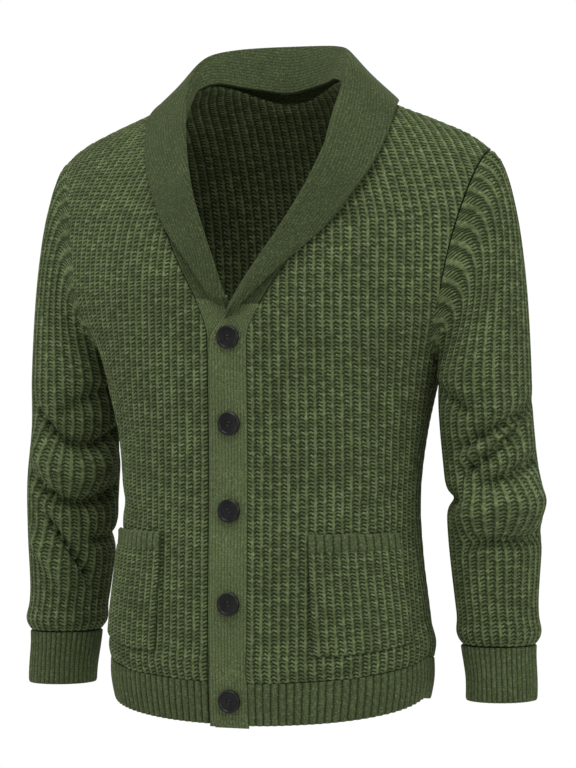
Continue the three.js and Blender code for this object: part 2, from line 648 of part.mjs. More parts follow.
// Shawl collar: a folded sheet, from the neckline seam up the stand, over the roll line and down the fall.
function collar(name, material) {
  const body = new Body(name);
  const parts = [];
  for (let i = -15; i <= 15; i++) parts.push(i / 15);
  const half = 1.3;
  const clear = (point, behind, out) => {
    const spot = nearest(point, behind);
    const base = torso(spot.share, spot.height, behind);
    const n = torsoOut(spot.share, spot.height, behind);
    const gap = sub(point, base);
    const level = gap[0] * n[0] + gap[1] * n[1] + gap[2] * n[2];
    return level < out ? add(base, n, out) : point;
  };
  const lines = parts.map((part) => {
    const side = part < 0 ? -1 : 1;
    const u = Math.min(Math.abs(part), side < 0 ? 0.975 : 1);
    const get = (name_) => read(COLLAR, "u", name_, u);
    const set = (z) => read(NECK_SET, "z", "x", z);
    const roll = [side * get("rx") + set(get("rz")), get("ry"), get("rz")];
    const freeEdge = [side * get("ex") + set(get("ez")), get("ey"), get("ez")];
    const sz = get("sz");
    const besideNeck = sz > -160 && get("sy") < 0;
    const seamX = sz <= -160 ? neckX(side, sz) - 1.8 : besideNeck ? neckEdge(side, sz)[0] - 1.8 : get("sx");
    const low = side > 0 ? LAP * ease((u - 0.7) / 0.3) : 0;
    const seamBehind = get("sy") > RIDGE_Y;
    const seamSpot = nearest([side * seamX, get("sy"), sz], seamBehind);
    const seam = torsoSkin(seamSpot.share, seamSpot.height, seamBehind, -1 + low);
    const edgeBehind = freeEdge[1] > RIDGE_Y;
    const lift = 5 + low;
    const fallEnd = clear(freeEdge, edgeBehind, lift);
    const middleOne = blend(roll, fallEnd, 0.4);
    const middleTwo = blend(roll, fallEnd, 0.72);
    const fallOne = clear(middleOne, middleOne[1] > RIDGE_Y, lift + 1.5);
    const fallTwo = clear(middleTwo, middleTwo[1] > RIDGE_Y, lift + 0.5);
    const crest = unit(sub(roll, blend(seam, fallTwo, 0.5)));
    const apart = sub(fallOne, blend(seam, roll, 0.6));
    const flat = crest[0] * apart[0] + crest[1] * apart[1] + crest[2] * apart[2];
    const out = unit(add(apart, crest, -flat));
    return [
      seam,
      blend(seam, add(roll, out, -2.6), 0.34),
      blend(seam, add(roll, out, -2.6), 0.7),
      add(add(roll, out, -2.4), crest, -2),
      add(roll, crest, 1),
      add(add(roll, out, 2.4), crest, -2),
      fallOne,
      fallTwo,
      fallEnd,
    ];
  });
  const sides = lines.map((line, i) => {
    const before = lines[Math.max(0, i - 1)];
    const after = lines[Math.min(lines.length - 1, i + 1)];
    return line.map((p, j) => {
      const along = sub(after[j], before[j]);
      const across = sub(line[Math.min(line.length - 1, j + 1)], line[Math.max(0, j - 1)]);
      const n = unit(cross(across, along));
      return [add(p, n, half), add(p, n, -half)];
    });
  });
  const outer = sides.map((line) => line.map((pair) => body.point(pair[0])));
  const inner = sides.map((line) => line.map((pair) => body.point(pair[1])));
  const last = lines.length - 1;
  const end = lines[0].length - 1;
  for (let i = 0; i < last; i++)
    for (let j = 0; j < end; j++) {
      body.quad(outer[i][j], outer[i + 1][j], outer[i + 1][j + 1], outer[i][j + 1]);
      body.quad(inner[i][j + 1], inner[i + 1][j + 1], inner[i + 1][j], inner[i][j]);
    }
  const row = (grid, j) => grid.map((line) => line[j]);
  body.wall(row(outer, 0), row(inner, 0));
  body.wall(outer[last], inner[last]);
  body.wall(row(outer, end).reverse(), row(inner, end).reverse());
  body.wall(outer[0].slice().reverse(), inner[0].slice().reverse());
  return body.mesh(material);
}

function button(name, z, material) {
  const profile = [
    { r: 0, h: 0 },
    { r: 12.4, h: 0.5 },
    { r: 12.5, h: 3.2 },
    { r: 11, h: 4.2 },
    { r: 9.6, h: 3 },
    { r: 0, h: 2.8 },
  ].map((row) => new THREE.Vector2(row.r, row.h));
  const body = new Body(name);
  const count = 14;
  const base = torsoSkin(0.0001, z, false, 4.8);
  const out = torsoOut(0.0001, z, false);
  const aside = [1, 0, 0];
  const up = cross(out, aside);
  const at = (r, h, angle) => add(add(add(base, out, h), aside, r * Math.cos(angle)), up, r * Math.sin(angle));
  const rings = profile.slice(1, -1).map((p) =>
    Array.from({ length: count }, (_, i) => body.point(at(p.x, p.y, (i / count) * 2 * Math.PI))),
  );
  const foot = body.point(at(0, profile[0].y, 0));
  const face = body.point(at(0, profile[profile.length - 1].y, 0));
  for (let i = 0; i < count; i++) {
    const next = (i + 1) % count;
    body.face(foot, rings[0][next], rings[0][i]);
    body.face(face, rings[rings.length - 1][i], rings[rings.length - 1][next]);
    for (let k = 0; k < rings.length - 1; k++)
      body.quad(rings[k][i], rings[k][next], rings[k + 1][next], rings[k + 1][i]);
  }
  return body.mesh(material);
}

const knit = new THREE.MeshStandardMaterial({ color: 0x4a6a37, roughness: 0.95 });
const fineKnit = new THREE.MeshStandardMaterial({ color: 0x42602f, roughness: 0.95 });
const horn = new THREE.MeshStandardMaterial({ color: 0x17181a, roughness: 0.35 });

const cardigan = new THREE.Group();
cardigan.name = "cardigan";
cardigan.add(
  front("front_left", 1, knit),
  front("front_right", -1, knit),
  back("back", knit),
  hem("hem_left", 1, knit),
  hem("hem_right", -1, knit),
  hem("hem_back", 0, knit),
  sleeve("sleeve_left", 1, FOLDS_LEFT, knit),
  sleeve("sleeve_right", -1, FOLDS_RIGHT, knit),
  cuff("cuff_left", 1, knit),
  cuff("cuff_right", -1, knit),
  band("button_band", 1, fineKnit),
  band("under_band", -1, fineKnit),
  collar("shawl_collar", fineKnit),
  pocket("pocket_left", 1, knit),
  pocket("pocket_right", -1, knit),
);
BUTTON_Z.forEach((z, i) => cardigan.add(button("button_" + (i + 1), z, horn)));

export default cardigan;
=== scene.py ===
import math

import bpy
import numpy as np
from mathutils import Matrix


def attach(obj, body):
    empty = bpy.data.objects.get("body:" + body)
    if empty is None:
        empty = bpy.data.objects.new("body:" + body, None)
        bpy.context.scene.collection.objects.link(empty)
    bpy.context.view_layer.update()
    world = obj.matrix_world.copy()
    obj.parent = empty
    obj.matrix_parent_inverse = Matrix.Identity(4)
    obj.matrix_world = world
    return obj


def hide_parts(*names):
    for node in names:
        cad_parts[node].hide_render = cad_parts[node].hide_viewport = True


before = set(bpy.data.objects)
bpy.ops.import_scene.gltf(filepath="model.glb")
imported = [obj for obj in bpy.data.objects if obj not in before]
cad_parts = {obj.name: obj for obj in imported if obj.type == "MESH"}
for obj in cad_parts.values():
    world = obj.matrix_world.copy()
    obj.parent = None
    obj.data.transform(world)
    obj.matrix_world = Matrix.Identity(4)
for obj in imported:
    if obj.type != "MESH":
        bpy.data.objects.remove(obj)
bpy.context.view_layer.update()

# Shawl collar cardigan in its worn shape. Sizes are in mm until a mesh is made; +X is the wearer's left.
MM = 0.001
SEAM = 0.3
WALL = 2.4
CHEST_Z = -230
UNDERARM_Z = -305
RIDGE_Y = 8
ROUNDNESS = 2.3
QUARTER = 246
FRONT_RIBS = 26
BACK_RIBS = 56
SLEEVE_RIBS = 30
CUFF_RIBS = 42
HEM_TALL = 45
LAP = 3.4
LEFT_START = 20.3
RIGHT_START = 27
ARM_SHARE = 0.79
STEP = 40 / 52
BACK_STEP = 44 / 56
LEFT_NECK = 15 / 52
RIGHT_NECK = 13 / 52
ARM_TOP_Z = -330
CUFF_Z = -609
SIDE_SHARE = 1 - 0.0006
HEM_SIDE_Z = -669
HEM_DROP_FRONT = 25
HEM_DROP_BACK = 15
CUFF_TOP_Z = CUFF_Z - 1.2
CUFF_END_Z = -668.5
CUFF_TALL = 58

# Knit spacing: chunky courses and ribs, and the fine knit of bands and collar.
COURSE = 3.95
RIB_WIDE = 9.5
COURSES_BELOW = 102
BACK_MIDDLE_RIB = 26
TOP_SOFT = 5
FINE_RIB = 3.7
FINE_COURSE = 2.6
BAND_RIBS = 12

# One chunky stitch, in parts of a rib and a course: its ridge, the legs beside it and the loop's climb.
RIDGE_AT = 0.64
RIDGE_HALF = 0.2
GROOVE_AT = 0.08
LEFT_LEG = 0.56
RIGHT_LEG = 0.44
LOOP_FOOT = 0.22
LOOP_CLIMB = 0.5
LOOP_BEND = 1.4
LOOP_HALF = 0.36
RIDGE_LEVEL = 0.9

# Bands, pockets and buttons.
BAND_FOOT_Z = -697
BAND_CORNER = 9
POCKET_WALES = 12
POCKET_TALL = 128
POCKET_WIDE = 112
POCKET_BAND = 19
POCKET_INNER_X = 87
POCKET_MIDDLE_Z = -550
POCKET_FOOT_Z = -618
POCKET_TOP_Z = -490
POCKET_LIFT = 12
BUTTON_Z = (-281, -373, -466, -565, -668)
BUTTON_TURNS = (0.1, -0.35, 0.5, 0.2, -0.15)
BUTTON_R = 12.5
BUTTON_THICK = 3.4
BUTTON_SIDES = 48
HOLE_OFF = 1.9
HOLE_R = 1.05
THREAD_Z = 2.1

# Torso sections from hem to chest: height, half width, depth in front and behind, flare of the outer columns.
BODY = np.array([
    (-720, 169, 106, 110, 0), (-690, 174, 109, 114, 0), (-645, 181, 113, 120, 0), (-585, 177, 114, 121, 0),
    (-520, 169, 113, 117, 0), (-455, 166, 112, 113, 0), (-390, 173, 112, 115, 0), (-320, 187, 114, 122, 2),
    (-290, 190, 115, 125, 10), (-260, 194, 116, 127, 28), (-230, 197, 116, 129, 42),
], float)
# Shoulder line: half width, height.
RIDGE = np.array([
    (0, 16), (40, 12), (82, 0), (137, -26), (195, -49), (228, -64), (252, -81), (262, -92),
], float)
# Neckline seam in front: height, half width.
NECKLINE = np.array([(-300, 20), (-274, 22), (-242, 38), (-209, 59), (-172, 79), (-140, 92)], float)
# Sleeve sections below the underarm: height, centre x, centre y, half width, half depth.
ARM = np.array([
    (-330, 242, 14, 48, 64), (-380, 244, 17, 48, 62), (-440, 250, 18, 49, 59), (-500, 252, 20, 48, 56),
    (-560, 254, 19, 43, 51), (-592, 257, 17, 41, 48), (-609, 258, 16, 39, 44), (-640, 260, 15, 37, 42),
    (-669, 261, 14, 36.5, 41),
], float)
# Collar stations from the centre back to the V: place, then x y z of roll line, free edge and neckline seam.
COLLAR = np.array([
    (0.0, 0, 72, 46, 0, 104, -14, 0, 55, -4),
    (0.1, 50, 58, 43, 72, 88, -18, 43, 40, -1),
    (0.2, 82, 26, 33, 126, 44, -22, 71, 14, 3),
    (0.3, 93, -6, 10, 143, -4, -28, 79, -16, -8),
    (0.42, 91, -44, -32, 142, -34, -56, 78, -50, -44),
    (0.54, 82, -74, -76, 134, -62, -90, 78, -76, -86),
    (0.66, 67, -99, -122, 118, -84, -124, 77, -94, -124),
    (0.78, 46, -112, -166, 93, -100, -163, 77, -104, -168),
    (0.9, 20, -120, -212, 52, -112, -206, 56, -112, -212),
    (1.0, 3, -121, -245.5, 14, -116, -248, 36, -114, -245.5),
], float)
# Sideways set of the neck opening: height, shift toward the wearer's left.
NECK_SET = np.array([(-250, 0), (-180, 10), (-110, 13), (-50, 9), (10, 0), (60, -4)], float)
# Sleeve folds: turn in degrees (0 outer, 90 front), height, turn spanned, rise, lift of the ends, half width,
# depth, which is below nought for a crease.
FOLDS_LEFT = (
    (42, -374, 130, -48, 0, 10, -6), (50, -387, 115, -50, 0, 8, 4), (60, -399, 100, -54, 0, 9, -6),
    (34, -424, 105, -30, 0, 10, -6), (50, -462, 150, -18, 0, 18, 5), (47, -495, 140, -11, 0, 10, -5),
    (170, -452, 110, 20, 8, 12, -6), (250, -405, 120, -20, -10, 16, -5), (255, -470, 120, 24, 8, 15, -5),
    (130, -340, 90, 44, 0, 14, -4),
)
FOLDS_RIGHT = (
    (122, -400, 130, -22, 32, 10, -6), (118, -430, 130, -16, 26, 16, 5), (122, -464, 140, -14, 24, 11, -7),
    (116, -517, 75, -73, 0, 10, -6), (90, -530, 70, -60, 0, 14, 4), (190, -505, 90, 14, 6, 12, -5),
    (255, -398, 120, 22, 10, 16, -5), (280, -466, 120, -20, -8, 15, -5), (140, -345, 90, 40, 0, 14, -4),
)
# Soft drapes of the torso: start along the girth and height, end of both, half width, depth.
FRONT_DRAPES = (
    (196, -318, 150, -392, 13, -2.2), (214, -352, 176, -420, 15, -2.0), (206, -452, 138, -468, 12, -2.2),
    (216, -492, 150, -484, 14, -1.8), (60, -470, 52, -600, 22, 1.2), (150, -646, 214, -640, 8, -2.6),
    (64, -652, 118, -640, 9, -1.6), (-192, -322, -148, -398, 13, -2.2), (-212, -360, -180, -430, 15, -2.0),
    (-208, -458, -130, -474, 12, -2.2), (-205, -502, -150, -492, 13, -1.6), (-150, -640, -212, -646, 9, -2.4),
    (-52, -450, -60, -610, 20, 1.2), (-60, -640, -112, -650, 9, -1.6),
)
BACK_DRAPES = (
    (-70, -150, -96, -330, 24, 3.0), (78, -160, 88, -350, 26, 3.0), (-14, -240, 10, -420, 34, -3.0),
    (-150, -440, 40, -458, 16, -3.4), (-30, -486, 168, -470, 15, -3.2), (-120, -520, 60, -528, 17, 2.6),
    (-170, -330, -110, -420, 16, -2.6), (174, -340, 118, -424, 16, -2.6), (-90, -560, -78, -640, 20, 2.0),
    (52, -560, 66, -648, 18, 2.2), (-30, -650, 90, -640, 10, -2.4), (-206, -500, -140, -512, 13, -2.2),
)


def mix(a, b, t):
    return a + (b - a) * t


def ease(t):
    t = np.clip(t, 0, 1)
    return t * t * (3 - 2 * t)


def unit(vectors):
    return vectors / np.maximum(np.linalg.norm(vectors, axis=-1, keepdims=True), 1e-9)


def stack(x, y, z):
    return np.stack(np.broadcast_arrays(x, y, z), axis=-1).astype(float)


def read(table, column, at):
    """Smooth value of a table's column at a place on its first column."""
    keys, values = table[:, 0], table[:, column]
    if keys[0] > keys[-1]:
        keys, values = keys[::-1], values[::-1]
    at = np.clip(at, keys[0], keys[-1])
    i = np.clip(np.searchsorted(keys, at) - 1, 0, len(keys) - 2)
    before = np.maximum(i - 1, 0)
    after = np.minimum(i + 2, len(keys) - 1)
    span = keys[i + 1] - keys[i]
    t = (at - keys[i]) / span
    leave = (values[i + 1] - values[before]) / (keys[i + 1] - keys[before]) * span
    arrive = (values[after] - values[i]) / (keys[after] - keys[i]) * span
    first = (2 * t**3 - 3 * t**2 + 1) * values[i] + (t**3 - 2 * t**2 + t) * leave
    return first + (3 * t**2 - 2 * t**3) * values[i + 1] + (t**3 - t**2) * arrive


def even_angles():
    """Shares of the arc of a quarter section and their angles, so that the ribs are evenly wide."""
    angles = np.linspace(0, math.pi / 2, 241)
    x = 181 * np.sin(angles) ** (2 / ROUNDNESS)
    y = -114 * np.clip(np.cos(angles), 0, 1) ** (2 / ROUNDNESS)
    lengths = np.concatenate([[0], np.cumsum(np.hypot(np.diff(x), np.diff(y)))])
    return lengths / lengths[-1], angles


ARC_SHARES, ARC_ANGLES = even_angles()


def torso(share, height, behind):
    """Torso point at a share of the quarter girth and a height along the rib.

    Past the chest the rib bends over to the shoulder ridge.
    """
    share, height, behind = np.broadcast_arrays(share, height, behind)
    z = np.minimum(height, CHEST_Z)
    angle = np.interp(np.abs(share), ARC_SHARES, ARC_ANGLES)
    across = np.sin(angle) ** (2 / ROUNDNESS)
    along = np.maximum(0, np.cos(angle)) ** (2 / ROUNDNESS)
    x = read(BODY, 1, z) * across + read(BODY, 4, z) * across**5
    y = np.where(behind, read(BODY, 3, z), -read(BODY, 2, z)) * along
    side = np.where(share < 0, -1, 1)
    top_x = x * (1 + 0.17 * (x / 212) ** 2)
    reach = RIDGE_Y - y
    rise = read(RIDGE, 1, top_x) - CHEST_Z
    a = np.clip((height - CHEST_Z) / (1.06 * np.hypot(reach, rise)), 0, 1)
    foot = np.where(behind, 0.5, 0.36)
    crown = np.where(behind, 0.46, 0.4)
    turned = 3 * (1 - a) * a * a * (1 - crown) + a**3
    raised = 3 * (1 - a) ** 2 * a * foot + 3 * (1 - a) * a * a + a**3
    spread = mix(a, ease(a), 0.4)
    over = height > CHEST_Z
    return stack(
        side * np.where(over, mix(x, top_x, spread), x),
        np.where(over, y + reach * turned, y),
        np.where(over, CHEST_Z + rise * raised, height),
    )


def torso_top(share, behind):
    start = torso(share, CHEST_Z, behind)
    x = np.abs(start[..., 0])
    rise = read(RIDGE, 1, x * (1 + 0.17 * (x / 212) ** 2)) - CHEST_Z
    return CHEST_Z + 1.06 * np.hypot(RIDGE_Y - start[..., 1], rise)


def torso_out(share, height, behind):
    """Outward direction of the torso."""
    share, height, behind = np.broadcast_arrays(share, height, behind)
    s = np.clip(np.abs(share), 0.004, 0.996) * np.where(share < 0, -1, 1)
    wide = torso(s + 0.003, height, behind) - torso(s - 0.003, height, behind)
    tall = torso(s, height + 0.5, behind) - torso(s, height - 1.5, behind)
    n = np.cross(wide, tall) * np.where(behind, -1, 1)[..., None]
    near = np.maximum(ease((np.abs(share) - 0.955) / 0.04), ease(1 - (torso_top(s, behind) - height) / 9))
    n[..., 1] *= 1 - near
    return unit(n)


def torso_skin(share, height, behind, out):
    out = np.asarray(out, float)
    return torso(share, height, behind) + torso_out(share, height, behind) * out[..., None]


def share_at(x, height):
    """Share of the quarter girth where the front stands at a given x."""
    x, height = np.broadcast_arrays(np.asarray(x, float), np.asarray(height, float))
    low, high = np.zeros(x.shape), np.ones(x.shape)
    for _ in range(30):
        middle = (low + high) / 2
        under = torso(middle, height, False)[..., 0] < np.abs(x)
        low, high = np.where(under, middle, low), np.where(under, high, middle)
    return np.where(x < 0, -low, low)


def nearest(points, behind):
    """Share and height of the torso points nearest to wanted points."""
    side = np.where(points[:, 0] < 0, -1, 1)[:, None]
    behind = behind[:, None]
    share, height = np.full((len(points), 1), 0.5), np.full((len(points), 1), -150.0)
    step, tall = 0.08, 24.0
    for turn in range(9):
        reach = 2 if turn else 14
        i, j = np.meshgrid(np.arange(-reach, reach + 1), np.arange(-reach, reach + 1))
        s = np.clip(share + i.ravel() * step / 2, 0, 0.999)
        h = np.minimum(height + j.ravel() * tall / 2, torso_top(s, behind))
        gap = np.linalg.norm(torso(side * s, h, behind) - points[:, None], axis=-1)
        best = gap.argmin(axis=1)[:, None]
        share, height = np.take_along_axis(s, best, 1), np.take_along_axis(h, best, 1)
        step, tall = step / 2, tall / 2
    return (side * share)[:, 0], height[:, 0]


def hem_bottom(share, behind):
    return HEM_SIDE_Z - (HEM_DROP_BACK if behind else HEM_DROP_FRONT) * (1 - np.abs(share) ** 2.2)


def neck_x(side, z):
    under = 7 * (1 - ease((z + 290) / 80)) if side < 0 else 0
    return read(NECKLINE, 1, z) + under


def armhole_height(share):
    inside = 1 - ((1 - np.abs(share)) / (1 - ARM_SHARE)) ** 2
    return CHEST_Z - (CHEST_Z - UNDERARM_Z) * np.sqrt(np.clip(inside, 0, 1)) - SEAM / 2


def front_share(column, height, side):
    start = share_at(LEFT_START if side > 0 else RIGHT_START, np.minimum(height, CHEST_Z))
    return mix(start, SIDE_SHARE, column)


def lap_at(x, side):
    return LAP * (1 - ease((np.abs(x) - 24) / 55)) if side > 0 else 0 * x


def drape_at(drapes, share, height):
    """Soft drapes of the torso, in mm, fading out toward the side seams."""
    along = share * QUARTER
    total = np.zeros(np.broadcast(share, height).shape)
    for s0, z0, s1, z1, width, depth in drapes:
        ds, dz = s1 - s0, z1 - z0
        t = ((along - s0) * ds + (height - z0) * dz) / (ds * ds + dz * dz)
        away = np.hypot(along - s0 - ds * np.clip(t, 0, 1), height - z0 - dz * np.clip(t, 0, 1))
        total += depth * np.exp(-((away / width) ** 2)) * (0.4 + 0.6 * ease(np.minimum(t, 1 - t) * 4 + 0.6))
    return total * (1 - ease((np.abs(share) - 0.9) / 0.1))


def stitch_height(wales, courses):
    """Relief of the chunky knit in mm.

    Each rib has a ridge, each course a loop from it to its neighbour, and holes lie between the loops.
    """
    a, b = wales % 1, courses % 1
    ridge = np.clip(1 - ((a - RIDGE_AT) / RIDGE_HALF) ** 2, 0, 1)
    from_ridge = (a - GROOVE_AT) % 1 - LEFT_LEG
    leg = np.where(from_ridge < 0, -from_ridge / LEFT_LEG, from_ridge / RIGHT_LEG)
    away = np.abs(b - (LOOP_FOOT + LOOP_CLIMB * np.clip(leg, 0, 1) ** LOOP_BEND))
    away = np.minimum(away, 1 - away)
    loop = np.clip(1 - (away / LOOP_HALF) ** 2, 0, 1) * np.where(from_ridge < 0, 0.85, 0.4)
    round_rib = 0.5 - 0.5 * np.cos(2 * math.pi * (a - 0.1))
    return 0.8 * round_rib + np.maximum(RIDGE_LEVEL * ridge, loop) - 0.2


def stack_knit(wales, courses):
    return np.stack(np.broadcast_arrays(wales, courses), axis=-1).astype(float)


def with_stitches(level, wales, courses, soft):
    """Level of the outer sheet: the stitches on top of it, flattened where soft is nought."""
    return level + stitch_height(wales, courses) * soft - 0.1 * (1 - soft)


class Shell:
    """Closed piece of cloth: points, knit coordinates and triangles of two sheets, joined by walls."""

    def __init__(self, name):
        self.name = name
        self.points = []
        self.knit = []
        self.faces = []
        self.count = 0

    def sheet(self, points, knit, tops=None, closed=False, breaks=(), turned=False):
        """Adds columns of points; column i ends at row tops[i].

        Gives the point numbers; past a top they repeat the top's.
        """
        columns, rows = points.shape[:2]
        tops = np.full(columns, rows - 1) if tops is None else tops
        number = self.count + np.arange(columns * rows).reshape(columns, rows)
        number = np.take_along_axis(number, np.minimum(np.arange(rows)[None], tops[:, None]), 1)
        self.points.append(points.reshape(-1, 3))
        self.knit.append(knit.reshape(-1, 2))
        self.count += columns * rows
        after = np.roll(number, -1, 0) if closed else number[1:]
        here = number if closed else number[:-1]
        p, q, r, s = here[:, :-1], after[:, :-1], after[:, 1:], here[:, 1:]
        keep = np.ones(p.shape, bool)
        for i in breaks:
            keep[i] = np.arange(rows - 1) < min(tops[i], tops[i + 1])
        for ring in ((p, q, r), (p, r, s)):
            triangle = np.stack(ring, -1)[keep]
            real = (triangle[:, 0] != triangle[:, 1]) & (triangle[:, 1] != triangle[:, 2])
            real &= triangle[:, 0] != triangle[:, 2]
            triangle = triangle[real]
            self.faces.append(triangle[:, ::-1] if turned else triangle)
        return number

    def wall(self, outer, inner):
        """Joins an outer edge to an inner one with any number of points."""
        i = k = 0
        made = []
        while i < len(outer) - 1 or k < len(inner) - 1:
            next_outer = (i + 1) / max(1, len(outer) - 1)
            next_inner = (k + 1) / max(1, len(inner) - 1)
            if k == len(inner) - 1 or (i < len(outer) - 1 and next_outer <= next_inner):
                made.append((outer[i + 1], outer[i], inner[k]))
                i += 1
            else:
                made.append((outer[i], inner[k], inner[k + 1]))
                k += 1
        made = np.array([t for t in made if len(set(t)) == 3], int)
        self.faces.append(made.reshape(-1, 3))

    def close(self, sides):
        """Joins the edges of the outer sheet to those of the inner one."""
        for outer_edge, inner_edge in zip(*sides):
            self.wall(outer_edge, inner_edge)

    def object(self, material):
        points = np.concatenate(self.points)
        knit = np.concatenate(self.knit)
        faces = np.concatenate(self.faces)
        used, faces = np.unique(faces, return_inverse=True)
        faces = faces.reshape(-1, 3)
        points, knit = points[used], knit[used]
        corner = points[faces]
        if np.einsum("ij,ij->", corner[:, 0], np.cross(corner[:, 1], corner[:, 2])) < 0:
            faces = faces[:, ::-1]
        return mesh_object(self.name, points, faces, knit, material)


def mesh_object(name, points, faces, knit, material):
    """Object at the origin from points in mm, triangles and knit coordinates."""
    mesh = bpy.data.meshes.new(name)
    mesh.vertices.add(len(points))
    mesh.vertices.foreach_set("co", (points * MM).astype(np.float32).ravel())
    mesh.loops.add(faces.size)
    mesh.loops.foreach_set("vertex_index", faces.astype(np.int32).ravel())
    mesh.polygons.add(len(faces))
    mesh.polygons.foreach_set("loop_start", np.arange(0, faces.size, 3, dtype=np.int32))
    mesh.update(calc_edges=True)
    mesh.validate()
    layer = mesh.uv_layers.new(name="knit")
    layer.data.foreach_set("uv", knit[faces.ravel()].astype(np.float32).ravel())
    mesh.shade_smooth()
    mesh.materials.append(material)
    piece = bpy.data.objects.new(name, mesh)
    bpy.context.scene.collection.objects.link(piece)
    return piece


def rim(number, tops, breaks):
    """Edges of a sheet in turn: foot, right side, the steps of the top from right to left, left side."""
    last = len(number) - 1
    edges = [number[:, 0], number[last, : tops[last] + 1]]
    start = last
    for i in sorted(breaks, reverse=True):
        low = min(tops[i], tops[i + 1])
        across = [number[k, tops[k]] for k in range(start, i, -1)]
        if tops[i] > tops[i + 1]:
            edges.append(np.array(across + [number[i, low]]))
            edges.append(number[i, low : tops[i] + 1])
            start = i
        else:
            edges.append(np.array(across))
            edges.append(number[i + 1, low : tops[i + 1] + 1][::-1])
            edges.append(np.array([number[i + 1, low], number[i, low]]))
            start = i
    edges.append(np.array([number[k, tops[k]] for k in range(start, -1, -1)]))
    edges.append(number[0, : tops[0] + 1][::-1])
    return edges


def plain_rim(number):
    return rim(number, np.full(len(number), number.shape[1] - 1), ())


def heights_to(foot, tops, rows_below, step):
    """Heights of every row of every column, cut at the column's top, and the number of the top row."""
    columns = len(foot)
    most = int(math.ceil((tops.max() - CHEST_Z) / step)) + 2
    share = np.arange(rows_below + 1) / rows_below
    below = foot[:, None] + (CHEST_Z - foot[:, None]) * share[None]
    above = CHEST_Z + step * np.arange(1, most + 1)
    heights = np.concatenate([below, np.broadcast_to(above, (columns, most))], axis=1)
    last = (heights < tops[:, None] - 0.35 * step).sum(axis=1)
    heights[np.arange(columns), last] = tops
    return np.minimum(heights, tops[:, None]), last


def courses_at(foot, heights, count_below):
    below = (heights - foot[:, None]) / (CHEST_Z - foot[:, None]) * count_below
    return np.where(heights > CHEST_Z, count_below + (heights - CHEST_Z) / COURSE, below)


def neck_tops(columns, side):
    """Heights at which the front ribs beside the V end on the neckline seam."""
    share = front_share(columns, CHEST_Z, side)
    top = torso_top(share, False) - SEAM / 2
    most = mix(CHEST_Z, top, 0.25)
    tries = np.arange(-300, -100, 0.25)
    p = torso(front_share(columns[:, None], tries[None], side), tries[None], False)
    is_open = p[..., 0] < neck_x(side, p[..., 2])
    first = np.where(is_open.any(axis=1), tries[is_open.argmax(axis=1)], 0)
    return np.minimum(first, most)


def front_tops(columns, side):
    neck = LEFT_NECK if side > 0 else RIGHT_NECK
    share = front_share(columns, CHEST_Z, side)
    tops = torso_top(share, False) - SEAM / 2
    tops = np.where(columns > STEP + 1e-6, armhole_height(share), tops)
    beside = columns < neck - 1e-6
    tops[beside] = neck_tops(columns[beside], side)
    return tops


def blouse(heights, foot):
    """The body bulges a little over the ribbed hem."""
    over = heights - foot
    return 3.2 * np.exp(-(((over - 17) / 15) ** 2)) - 0.5 * np.exp(-((over / 7) ** 2))


def ends_soft(heights, tops, foot):
    """Nought at the top seam, one a few mm below it, and less again beside the hem."""
    return ease((tops[:, None] - heights) / TOP_SOFT) * ease((heights - foot[:, None]) / 3 + 0.3)


def ribs_across(points, start, first):
    """Rib count along each row, first at the column where it starts; the ribs are equally wide all over."""
    steps = np.hypot(np.diff(points[..., 0], axis=0), np.diff(points[..., 1], axis=0)) / RIB_WIDE
    count = np.concatenate([np.zeros((1, points.shape[1])), np.cumsum(steps, axis=0)])
    return count - count[start] + first


def front_sheet(side, count, rows_below, step, outer):
    """Points, knit coordinates and top rows of one side of a front."""
    columns = np.linspace(0, 1, count + 1)
    foot = hem_bottom(front_share(columns, CHEST_Z, side), False) + HEM_TALL + SEAM
    tops = front_tops(columns, side)
    heights, last = heights_to(foot, tops, rows_below, step)
    courses = courses_at(foot, heights, COURSES_BELOW)
    share = front_share(columns[:, None], heights, side)
    x = torso(share, heights, False)[..., 0]
    wales = ribs_across(torso(share, heights, False), 0, 0)
    level = lap_at(x, side) + blouse(heights, foot[:, None])
    level = level + drape_at(FRONT_DRAPES, side * share, heights) * ease((x - 34) / 30)
    if outer:
        soft = ends_soft(heights, tops, foot)
        soft = soft * ease(columns[:, None] * 60 + 0.25)
        beside_arm = (STEP - columns[:, None]) * 24 + 0.3 + 9 * (columns[:, None] > STEP + 1e-6)
        soft = soft * mix(1, ease(beside_arm), ease((heights - CHEST_Z) / 20))
        level = with_stitches(level, wales, courses, soft)
    else:
        level = level - WALL
    points = torso_skin(share, heights, False, level)
    points[..., 0] *= side
    return points, stack_knit(wales, courses), last


def front(name, side, material):
    shell = Shell(name)
    neck = LEFT_NECK if side > 0 else RIGHT_NECK
    sides = []
    grids = ((180, 3 * COURSES_BELOW, COURSE / 3, True), (52, 30, 14.1, False))
    for count, rows_below, step, outer in grids:
        points, knit, tops = front_sheet(side, count, rows_below, step, outer)
        breaks = (round(neck * count) - 1, round(STEP * count))
        number = shell.sheet(points, knit, tops, breaks=breaks, turned=not outer)
        sides.append(rim(number, tops, breaks))
    shell.close(sides)
    return shell.object(material)


def back_tops(columns):
    """Heights at which the back ribs end: the neck's curve, the shoulder seam or the armhole."""
    share = columns * SIDE_SHARE
    ridge = torso_top(share, True)
    top_x = np.abs(torso(share, ridge, True)[:, 0])
    tries = np.linspace(0, 1, 900)
    heights = mix(CHEST_Z, ridge[:, None], tries[None])
    p = torso(share[:, None], heights, True)
    over = p[..., 1] < RIDGE_Y + 54 * (1 - (p[..., 0] / 84) ** 2)
    cut = heights[np.arange(len(share)), np.where(over.any(axis=1), over.argmax(axis=1), 899)]
    tops = np.where(top_x >= 84, ridge - SEAM / 2, cut)
    return np.where(np.abs(columns) > BACK_STEP + 1e-6, armhole_height(share), tops)


